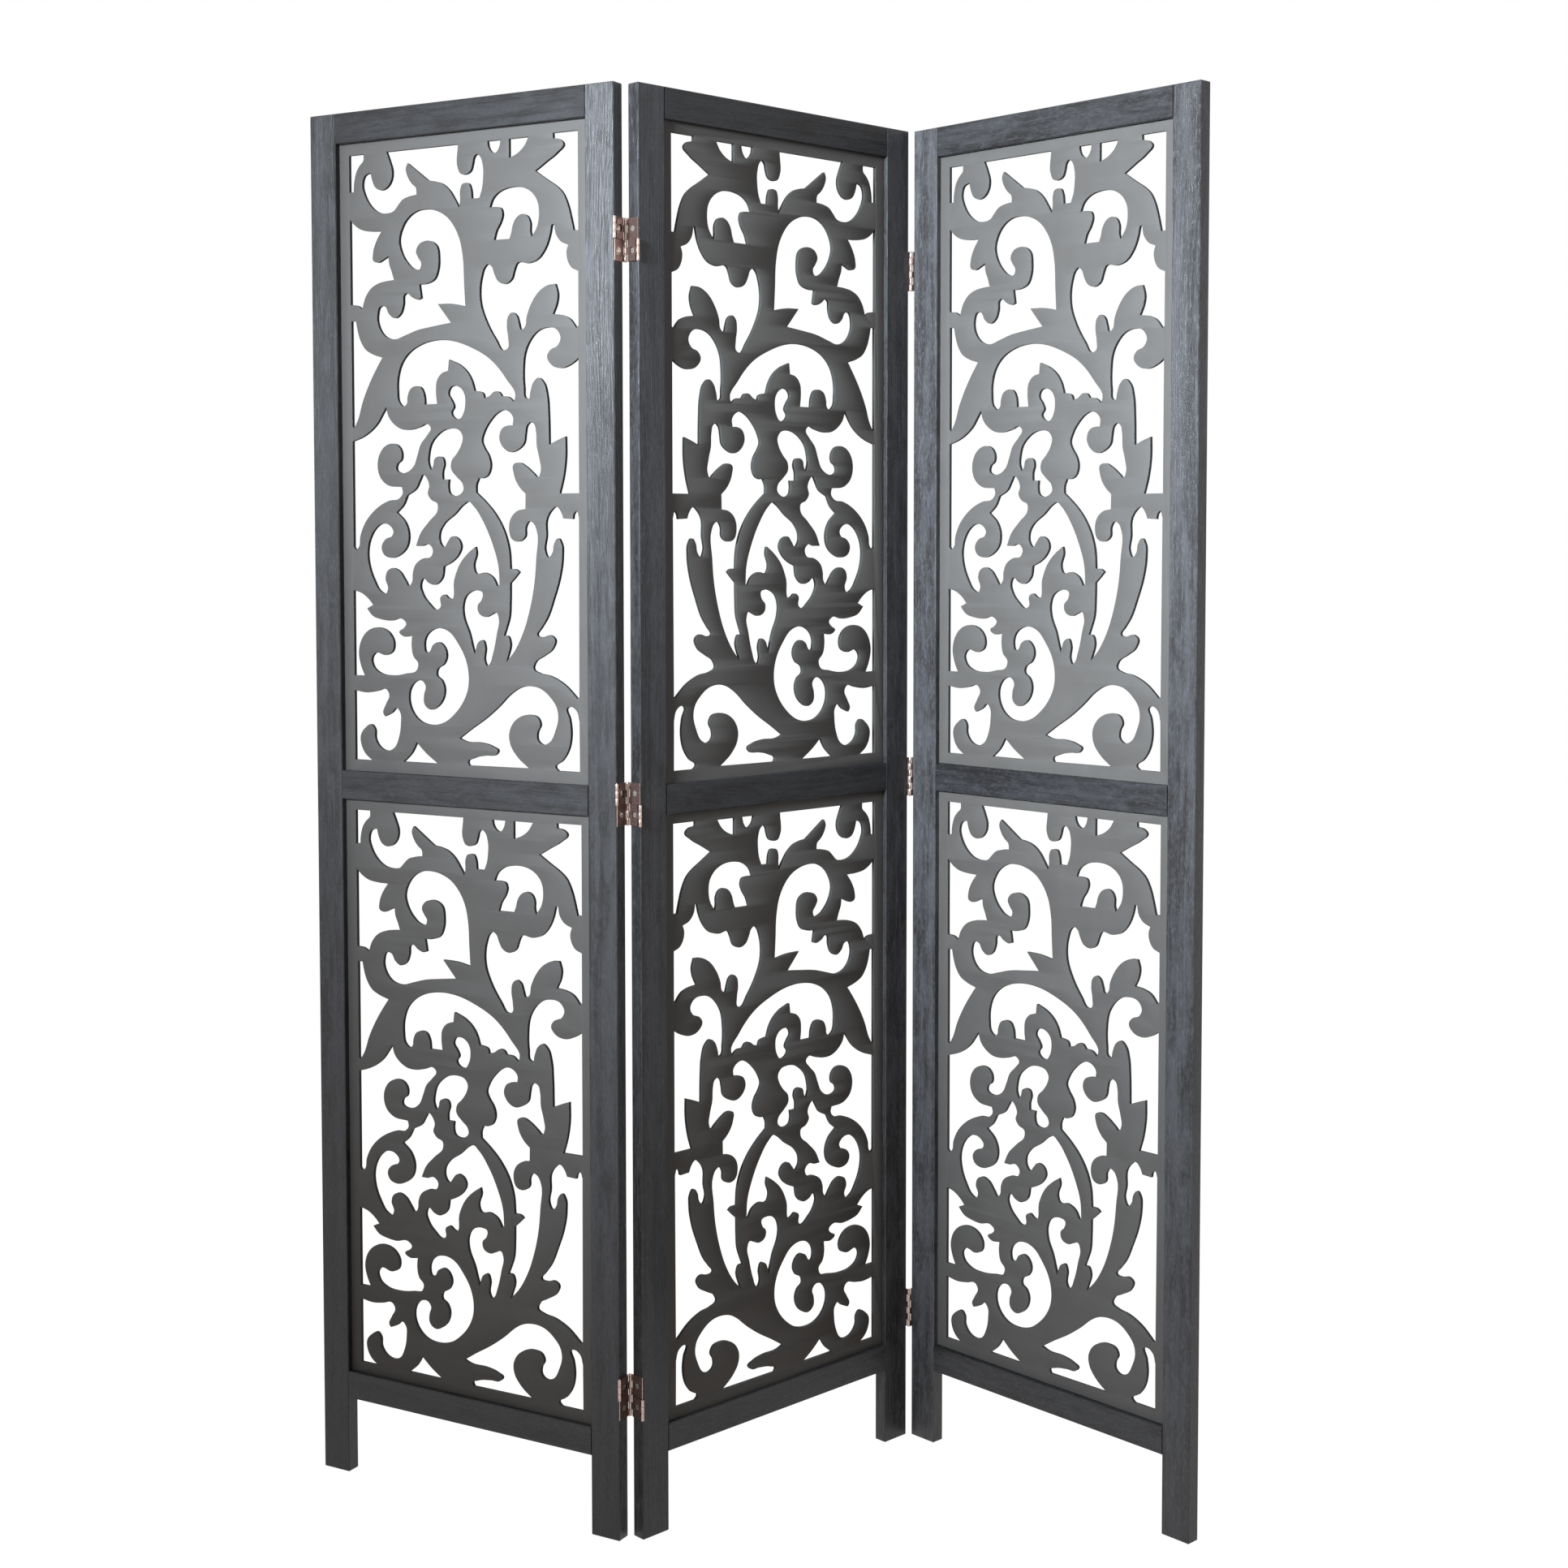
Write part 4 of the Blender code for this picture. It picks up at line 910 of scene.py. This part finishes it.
@dataclass
class Frames:
    """The stiles and rails of the three panels, which keep their CAD shape."""

    groups: Groups
    finish: StainedWood = StainedWood()
    seed_step: float = 3.7
    # Painted light and shade by piece: the right panel's pieces, most of all its hinge stile, and the bottom
    # rails are painted paler; the top rails of the left and middle panels are painted darker.
    painted_light_tones: tuple[tuple[str, float], ...] = (
        ("right_panel_hinge_stile", 1.6), ("right_panel_outer_stile", 1.25), ("right_panel", 1.25),
        ("left_panel_top_rail", 0.8), ("middle_panel_top_rail", 0.7), ("bottom_rail", 1.5))

    def painted_light_tone(self, name: str) -> float:
        """How much paler or darker the piece of a node is painted, painted light and shade for how light
        falls on it, where 1 is the usual.
        """
        return next((share for part, share in self.painted_light_tones if part in name), 1.0)

    def dress(self) -> None:
        """Gives every stile and rail its own cut of stained wood."""
        seed = 0.0
        for side, place in PLACES.items():
            for name in sorted(frame["nodes"]):
                if not (name.startswith(side.value) and name.endswith(("stile", "rail"))):
                    continue
                grain = Grain.UPRIGHT if name.endswith("stile") else Grain.LEVEL
                seed += self.seed_step
                frame["nodes"][name].material_slots[0].material = self.finish.material(
                    name + "_stain", self.groups, place.heading, grain, seed, self.painted_light_tone(name))
                LOG.info("%s: stained, grain %s", name, grain.value)


@dataclass
class ScrollBoard:
    """One pierced board, drawn as a filled outline with its openings and thickened."""

    side: PanelSide
    level: str
    steps: int = 5
    ease_steps: int = 1
    handle: float = 1.0 / 3.0
    weld: float = 0.00001
    face_tilt: float = 0.3
    smooth_angle: float = 32.0

    def tangents(self, places: list[tuple[Vector, bool]]) -> list[Vector | None]:
        """Direction of the smooth outline at each point.

        Args:
            places: Each point and whether it is a corner.

        Returns:
            A unit vector for each smooth point, and None for a corner.
        """
        found: list[Vector | None] = []
        for index, (here, is_corner) in enumerate(places):
            arrive = here - places[index - 1][0]
            leave = places[(index + 1) % len(places)][0] - here
            first, second = arrive.length, leave.length
            run = arrive * (second / first) + leave * (first / second)
            found.append(None if is_corner else run.normalized())
        return found

    def add_opening(self, curve: bpy.types.Curve, shares: tuple[tuple[int, ...], ...], width: float,
                    height: float, mirror: float) -> None:
        """Adds one opening to the board's outline as a closed Bezier spline.

        Args:
            curve: The board's curve.
            shares: The opening's points.
            width: Width of the light opening.
            height: Height of the light opening.
            mirror: 1, or -1 for a board that is seen from its back.
        """
        places = []
        for share in shares:
            across = (share[0] * SHARE_STEP - PATTERN_CENTRE_SHARES[0]) * width * mirror
            up = (PATTERN_CENTRE_SHARES[1] - share[1] * SHARE_STEP) * height
            places.append((Vector((across, up, 0.0)), len(share) > 2))
        area = sum(a[0].cross(b[0]).z for a, b in zip(places, places[1:] + places[:1]))
        if area > 0.0:
            places.reverse()
        spline = curve.splines.new("BEZIER")
        spline.bezier_points.add(len(places) - 1)
        spline.use_cyclic_u = True
        spline.resolution_u = self.steps
        for index, run in enumerate(self.tangents(places)):
            here = places[index][0]
            point = spline.bezier_points[index]
            point.co = here
            point.handle_left_type = point.handle_right_type = "FREE"
            to_before = (places[index - 1][0] - here) * self.handle
            to_after = (places[(index + 1) % len(places)][0] - here) * self.handle
            point.handle_left = here + (to_before if run is None else -run * to_before.length)
            point.handle_right = here + (to_after if run is None else run * to_after.length)

    def outline(self, width: float, height: float) -> bpy.types.Curve:
        """The board's filled outline with its thickness and eased edges.

        Args:
            width: Width of the light opening.
            height: Height of the light opening.

        Returns:
            The curve, flat in XY about the board's middle.
        """
        curve = bpy.data.curves.new("board_outline", "CURVE")
        curve.dimensions = "2D"
        curve.fill_mode = "BOTH"
        curve.bevel_depth = PANEL.board_ease
        curve.bevel_resolution = self.ease_steps
        curve.offset = -PANEL.board_ease
        curve.extrude = PANEL.board / 2.0 - PANEL.board_ease
        rim = curve.splines.new("POLY")
        rim.points.add(3)
        rim.use_cyclic_u = True
        half = (width / 2.0 + PANEL.board_reach, height / 2.0 + PANEL.board_reach)
        for point, (across, up) in zip(rim.points, ((-1, -1), (1, -1), (1, 1), (-1, 1))):
            point.co = (across * half[0], up * half[1], 0.0, 1.0)
        mirror = -1.0 if self.side is PanelSide.MIDDLE else 1.0
        for shares in PATTERN_SHARES.values():
            self.add_opening(curve, shares, width, height, mirror)
        return curve

    def build(self, face: Material, edge: Material) -> None:
        """Makes the board's mesh and puts it in its panel.

        Args:
            face: Finish of the faces.
            edge: Finish of the cut edges.
        """
        low, high = PANEL.opening_spans()[self.level]
        outline = self.outline(PANEL.width - 2.0 * PANEL.stile, high - low)
        holder = link(bpy.data.objects.new("board_outline", outline))
        bm = evaluated_shape(holder)
        bpy.data.objects.remove(holder)
        bmesh.ops.remove_doubles(bm, verts=bm.verts, dist=self.weld)
        for part in bm.faces:
            part.material_index = 0 if abs(part.normal.z) > self.face_tilt else 1
        recess = PANEL.board_recess + PANEL.board / 2.0
        depth = PANEL.thickness - recess if self.side is PanelSide.MIDDLE else recess
        stand = Matrix.Rotation(math.radians(90.0), 4, "X")
        middle = Vector((PANEL.width / 2.0, depth, (low + high) / 2.0))
        bm.transform(PLACES[self.side].matrix() @ Matrix.Translation(middle) @ stand)
        name = f"{self.side.value}_{self.level}"
        piece = mesh_object(f"{name}_scroll_board", bm, (face, edge), self.smooth_angle)
        settle(piece, self.side.value, "painted_board", f"{name}_board")


def cube_between(bm: Shape, low: Iterable[float], high: Iterable[float]) -> None:
    """Adds a box to a bmesh.

    Args:
        bm: The bmesh.
        low: The box's lowest corner.
        high: The opposite corner.
    """
    low = Vector(low)
    high = Vector(high)
    made = bmesh.ops.create_cube(bm, size=1.0)
    bmesh.ops.scale(bm, vec=high - low, verts=made["verts"])
    bmesh.ops.translate(bm, vec=(low + high) / 2.0, verts=made["verts"])


def combine(bm: Shape, other: Shape, operation: str) -> Shape:
    """Joins or cuts one closed shape with another.

    Args:
        bm: The shape, which is freed.
        other: The other shape, which is freed.
        operation: UNION or DIFFERENCE.

    Returns:
        The result as a new bmesh.
    """
    holders = []
    for label, shape in (("shape", bm), ("tool", other)):
        bmesh.ops.recalc_face_normals(shape, faces=shape.faces)
        mesh = bpy.data.meshes.new(label)
        shape.to_mesh(mesh)
        shape.free()
        holders.append(link(bpy.data.objects.new(label, mesh)))
    modifier = holders[0].modifiers.new("join", "BOOLEAN")
    modifier.operation = operation
    modifier.object = holders[1]
    modifier.solver = "EXACT"
    modifier.use_self = True
    result = evaluated_shape(holders[0])
    for holder in holders:
        bpy.data.objects.remove(holder)
    return result


@dataclass(frozen=True)
class TwoWayHinge:
    """One hinge: two leaves and two crossing straps, drawn about the middle of the gap."""

    sizes: HingeSizes = HINGE
    thickness: float = PANEL.thickness
    facing: float = 0.9
    slot_turns: Point = (30.0, -18.0)

    def leaf_bands(self, is_left: bool, is_front: bool) -> tuple[int, ...]:
        """The bands where a leaf carries knuckles on its front or its back pivot line."""
        return self.sizes.half(is_front == is_left)[::2]

    def turned(self, radius: float, span: Point, y: float, ease: float = 0.0) -> Shape:
        """A round bar about a pivot line, with eased ends.

        Args:
            radius: Its radius.
            span: Its bottom and top.
            y: Depth of the pivot line.
            ease: Width of the eased end edges.

        Returns:
            The bar.
        """
        low, high = span
        bm = bmesh.new()
        bmesh.ops.create_cone(bm, cap_ends=True, segments=self.sizes.sides, radius1=radius, radius2=radius,
                              depth=high - low)
        if ease:
            ends = [edge for edge in bm.edges if abs(edge.verts[0].co.z - edge.verts[1].co.z) < ease]
            bmesh.ops.bevel(bm, geom=ends, offset=ease, offset_type="OFFSET", segments=2, profile=0.5,
                            affect="EDGES", material=-1)
        bmesh.ops.translate(bm, vec=(0.0, y, (low + high) / 2.0), verts=bm.verts)
        return bm

    def knuckle(self, y: float, index: int) -> Shape:
        """The knuckle of one band on the pivot line at a depth."""
        size = self.sizes
        return self.turned(size.knuckle, size.band(index), y, size.knuckle_ease)

    def barrel(self, y: float, bands: tuple[int, ...]) -> Shape:
        """The knuckles that a leaf carries on one pivot line.

        Args:
            y: Depth of the pivot line.
            bands: The bands that carry a knuckle.

        Returns:
            Separate closed shapes in one bmesh.
        """
        bm = bmesh.new()
        for index in bands:
            bar = self.knuckle(y, index)
            scratch = bpy.data.meshes.new("bar")
            bar.to_mesh(scratch)
            bar.free()
            bm.from_mesh(scratch)
            bpy.data.meshes.remove(scratch)
        return bm

    def pin(self, y: float, bands: tuple[int, ...]) -> Shape:
        """The pin of one pivot line, seen between the knuckles, which stands out at its outer end alone.

        Args:
            y: Depth of the pivot line.
            bands: The bands where its leaf carries a knuckle.

        Returns:
            The closed shape.
        """
        size = self.sizes
        low = size.band(bands[0])[0]
        high = size.band(bands[-1])[1]
        if bands[0] in size.lower_bands:
            low -= size.pin_stand
        else:
            high += size.pin_stand
        return self.turned(size.pin_head, (low, high), y, size.pin_ease)

    def leaf(self, is_left: bool) -> Shape:
        """A leaf with its tabs and knuckles.

        Args:
            is_left: Whether it is the left-hand leaf of its hinge.

        Returns:
            The closed shape.
        """
        size = self.sizes
        side = -1.0 if is_left else 1.0
        outer = side * (size.gap / 2.0 - size.fit)
        x_low, x_high = sorted((outer, outer - side * size.leaf))
        bm = bmesh.new()
        cube_between(bm, (x_low, 0.0, -size.height / 2.0), (x_high, self.thickness, size.height / 2.0))
        for is_front in (True, False):
            bands = self.leaf_bands(is_left, is_front)
            y = size.axis_y(is_front, self.thickness)
            y_low, y_high = sorted((y, size.leaf if is_front else self.thickness - size.leaf))
            for index in bands:
                low, high = size.band(index)
                tab = bmesh.new()
                cube_between(tab, (x_low, y_low, low), (x_high, y_high, high))
                bm = combine(bm, tab, "UNION")
            bm = combine(bm, self.barrel(y, bands), "UNION")
        return bm

    def strap(self, is_upper: bool) -> Shape:
        """A strap with its two knuckles and the hole over a screw.

        Args:
            is_upper: Whether it is the upper strap.

        Returns:
            The closed shape.
        """
        size = self.sizes
        first, centre, last = size.half(is_upper)
        low, high = size.band(first)[0], size.band(last)[1]
        tongue_low, tongue_high = size.band(centre)
        front, back = (size.axis_y(is_front, self.thickness) for is_front in (True, False))
        half = size.strap / 2.0
        bm = bmesh.new()
        cube_between(bm, (-half, front + size.tongue, low), (half, back - size.tongue, high))
        bar = bmesh.new()
        cube_between(bar, (-half, front, tongue_low), (half, back, tongue_high))
        bm = combine(bm, bar, "UNION")
        for y in (front, back):
            bm = combine(bm, self.knuckle(y, centre), "UNION")
            bm = combine(bm, self.turned(size.pin_head + size.fit, (low, high), y), "DIFFERENCE")
        hole = bmesh.new()
        bmesh.ops.create_cone(hole, cap_ends=True, segments=size.hole_sides, radius1=size.hole,
                              radius2=size.hole, depth=size.gap)
        bmesh.ops.rotate(hole, cent=(0.0, 0.0, 0.0), matrix=Matrix.Rotation(math.radians(90.0), 3, "Y"),
                         verts=hole.verts)
        bmesh.ops.translate(hole, vec=(0.0, self.thickness / 2.0, (tongue_low + tongue_high) / 2.0),
                            verts=hole.verts)
        return combine(bm, hole, "DIFFERENCE")

    def paint_barrel_highlights(self, bm: Shape) -> None:
        """Gives the knuckles and a leaf's front edge the second material, a paler copper that paints
        highlights on them.

        Args:
            bm: A leaf or a strap.
        """
        size = self.sizes
        bm.normal_update()
        for face in bm.faces:
            middle = face.calc_center_median()
            is_edge = face.normal.y < -self.facing and middle.y < size.fit
            away = min(math.hypot(middle.x, middle.y - size.axis_y(is_front, self.thickness))
                       for is_front in (True, False))
            if is_edge or away < size.knuckle + size.fit:
                face.material_index = 1

    def screw(self, is_left: bool, is_upper: bool) -> Shape:
        """A countersunk cross-head screw, seen from the gap.

        Args:
            is_left: Whether it holds the left-hand leaf.
            is_upper: Whether it is the upper one.

        Returns:
            The closed shape.
        """
        size = self.sizes
        side = 1.0 if is_left else -1.0
        bm = bmesh.new()
        bmesh.ops.create_cone(bm, cap_ends=True, segments=size.sides, radius1=size.screw_neck,
                              radius2=size.screw_head, depth=size.screw_sink)
        top = [face for face in bm.faces if face.normal.z > self.facing]
        bmesh.ops.inset_region(bm, faces=top, thickness=size.screw_rim, depth=size.screw_dome)
        long = size.screw_slot_length / 2.0
        wide = size.screw_slot / 2.0
        for x, y in ((long, wide), (wide, long)):
            slot = bmesh.new()
            cube_between(slot, (-x, -y, 0.0), (x, y, size.screw_sink * 2.0))
            bm = combine(bm, slot, "DIFFERENCE")
        spin = Matrix.Rotation(math.radians(self.slot_turns[0 if is_upper else 1]), 4, "Z")
        lay = Matrix.Rotation(math.radians(90.0 * side), 4, "Y")
        sunk = -side * (size.gap / 2.0 - size.fit - size.leaf) - side * size.screw_sink / 2.0
        height = sum(size.band(size.half(is_upper)[1])) / 2.0
        bm.transform(Matrix.Translation((sunk, self.thickness / 2.0, height)) @ lay @ spin)
        return bm


@dataclass(frozen=True)
class HingeFinishes:
    """Finishes of a hinge: its plates, a paler copper painted on as highlights, and the screws."""

    plate: Material
    painted_highlight: Material
    screw: Material


@dataclass
class HingeLine:
    """The three hinges between two panels."""

    name: str
    left_panel: PanelSide
    right_panel: PanelSide
    hinge: TwoWayHinge = TwoWayHinge()

    def carriers(self) -> dict[str, tuple[str, PanelSide, float]]:
        """What carries each hinge piece.

        Returns:
            The body, the panel in whose frame it is drawn and the gap's middle there, by piece.
        """
        at_left = (self.left_panel, PANEL.width + HINGE.gap / 2.0)
        at_right = (self.right_panel, -HINGE.gap / 2.0)
        is_left_line = self.left_panel is PanelSide.LEFT
        outer, inner = (at_left, at_right) if is_left_line else (at_right, at_left)
        return {
            "left_leaf": (self.left_panel.value, *at_left),
            "right_leaf": (self.right_panel.value, *at_right),
            "upper_strap": (f"{self.name}_upper_straps", *outer),
            "lower_strap": (f"{self.name}_lower_straps", *inner),
        }

    def build(self, finishes: HingeFinishes) -> None:
        """Makes the leaves, straps, pins and screws of the line.

        Args:
            finishes: The hinges' finishes.
        """
        for piece, (body, side, middle) in self.carriers().items():
            is_leaf = piece.endswith("leaf")
            is_first = piece in ("left_leaf", "upper_strap")
            shape = self.hinge.leaf(is_first) if is_leaf else self.hinge.strap(is_first)
            self.hinge.paint_barrel_highlights(shape)
            slot = "coppered_steel" if is_leaf else "coppered_strap"
            for level, height in HINGE_LEVELS.items():
                node = f"{self.name}_{level.value}_hinge_{piece}"
                move = PLACES[side].matrix() @ Matrix.Translation((middle, 0.0, height))
                made = shape.copy()
                made.transform(move)
                plate = mesh_object(f"{node}_plate", made, (finishes.plate, finishes.painted_highlight))
                settle(plate, body, slot, node)
                if is_leaf:
                    self.fasten(node, body, move, is_first, finishes)
            shape.free()

    def fasten(self, node: str, body: str, move: Matrix, is_left: bool, finishes: HingeFinishes) -> None:
        """Adds the screws and pins of one leaf.

        Args:
            node: The leaf's node name.
            body: The body that carries it.
            move: Matrix from the hinge's frame to the part's frame.
            is_left: Whether it is the left-hand leaf.
            finishes: The hinge's finishes.
        """
        parts = [(f"{label}_screw", self.hinge.screw(is_left, label == "upper"), finishes.screw)
                 for label in ("upper", "lower")]
        for label in ("front", "back"):
            is_front = label == "front"
            pin = self.hinge.pin(HINGE.axis_y(is_front, PANEL.thickness),
                                 self.hinge.leaf_bands(is_left, is_front))
            parts.append((f"{label}_pin", pin, finishes.painted_highlight))
        for label, shape, material in parts:
            shape.transform(move)
            settle(mesh_object(f"{node}_{label}", shape, (material,)), body, "coppered_steel")


@dataclass(frozen=True)
class Lamp:
    """One soft rectangular lamp, in metres, watts and degrees."""

    name: str
    place: Triple
    target: Triple
    size: Point
    power: float
    spread: float
    colour: Colour = (0.82, 0.91, 1.0)

    def build(self) -> None:
        """Adds the lamp to the scene."""
        data = bpy.data.lights.new(self.name, "AREA")
        data.shape = "RECTANGLE"
        data.size, data.size_y = self.size
        data.energy = self.power
        data.color = self.colour
        data.spread = math.radians(self.spread)
        lamp = link(bpy.data.objects.new(self.name, data))
        lamp.location = self.place
        away = Vector(self.target) - Vector(self.place)
        lamp.rotation_euler = away.to_track_quat("-Z", "Y").to_euler()


@dataclass(frozen=True)
class Studio:
    """Pale floor, white surround, soft lamps and the camera.

    The floor's and the world's colours light the screen. What the camera and reflections see of them is
    white, and the floor keeps a share of its own look for the screen's shadow.
    """

    focal_mm: float = 51.259
    sensor_mm: float = 36.0
    from_corner: Triple = (0.25252, -2.56904, 1.17780)
    pitch: float = 2.904
    yaw: float = 0.607
    shift: Point = (-0.01730, -0.08345)
    reach: float = 60.0
    floor_size: float = 16.0
    floor_colour: Colour = (0.46, 0.34, 0.25)
    floor_roughness: float = 0.9
    floor_glow: float = 1.45
    floor_share: float = 0.68
    world_light: float = 0.10
    world_colour: Colour = (1.0, 0.84, 0.70)
    lamps: tuple[Lamp, ...] = (
        Lamp("front_window", (-2.3, -3.4, 2.1), (0.55, 0.0, 1.36), (1.0, 0.7), 25.0, 38.0),
        Lamp("side_window", (-4.3, -1.0, 1.50), (0.1, 0.0, 1.38), (2.0, 1.1), 1.1, 40.0),
        Lamp("side_fill", (3.4, -1.9, 1.5), (0.0, 0.0, 1.35), (1.2, 0.8), 1.7, 60.0),
        Lamp("back_fill", (0.6, 3.6, 2.0), (0.0, 0.0, 1.0), (1.6, 1.2), 9.0, 90.0, (1.0, 0.99, 0.97)),
    )

    def floor(self) -> None:
        """A wide pale floor, white to the camera and in reflections but for the screen's shadow."""
        bm = bmesh.new()
        bmesh.ops.create_grid(bm, x_segments=1, y_segments=1, size=self.floor_size / 2.0)
        tree = Surface("pale_floor")
        tree.feed(tree.shader, Base_Color=(*self.floor_colour, 1.0), Roughness=self.floor_roughness)
        glow = tree.feed(tree.add("ShaderNodeEmission"), Strength=self.floor_glow)
        mixed = tree.add("ShaderNodeMixShader")
        tree.feed(mixed, tree.times(tree.seen_plain(), self.floor_share), tree.shader.outputs[0],
                  glow.outputs[0])
        tree.feed(tree.tree.nodes["Material Output"], Surface=mixed.outputs[0])
        mesh_object("studio_floor", bm, (tree.material,))

    def surround(self) -> None:
        """A world that is white to the camera and in reflections, and lights the screen softly."""
        world = bpy.data.worlds.new("studio")
        bpy.context.scene.world = world
        world.use_nodes = True
        tree = Nodes(world.node_tree)
        seen = tree.seen_plain()
        tree.feed(world.node_tree.nodes["Background"],
                  Color=tree.blend(seen, self.world_colour, (1.0, 1.0, 1.0)),
                  Strength=tree.band(seen, 0.0, 1.0, self.world_light, 1.0))

    def camera(self) -> None:
        """The photograph's camera, placed from the left panel's near corner."""
        corner = PLACES[PanelSide.LEFT].matrix() @ Vector((PANEL.width, 0.0, 0.0))
        data = bpy.data.cameras.new("view")
        data.sensor_width = self.sensor_mm
        data.lens = self.focal_mm
        data.shift_x, data.shift_y = self.shift
        data.clip_end = self.reach
        camera = link(bpy.data.objects.new("view", data))
        camera.location = corner + Vector(self.from_corner)
        camera.rotation_euler = (math.radians(90.0 - self.pitch), 0.0, math.radians(self.yaw))
        bpy.context.scene.camera = camera

    def build(self) -> None:
        """Sets the whole studio up."""
        bpy.context.scene.view_settings.view_transform = "Standard"
        self.floor()
        self.surround()
        for lamp in self.lamps:
            lamp.build()
        self.camera()


def main() -> None:
    """Builds and dresses every piece in order."""
    logging.basicConfig(level=logging.INFO, format="%(name)s: %(message)s")
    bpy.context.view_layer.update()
    groups = Groups(WoodGrain().group(), HandlingMarks().group(), MetalPatina().group())
    Frames(groups).dress()
    paint = PaintedBoard()
    face = paint.face_material("charcoal_paint", groups)
    edge = paint.edge_material("cut_board_edge")
    for side in PanelSide:
        for level in ("lower", "upper"):
            ScrollBoard(side, level).build(face, edge)
    finishes = HingeFinishes(
        COPPER.material("antique_copper", groups), HIGHLIGHT_COPPER.material("painted_highlight_copper", groups),
        ZINC.material("zinc_screw", groups))
    HingeLine("left", PanelSide.LEFT, PanelSide.MIDDLE).build(finishes)
    HingeLine("right", PanelSide.MIDDLE, PanelSide.RIGHT).build(finishes)
    Studio().build()


if __name__ == "__main__":
    main()
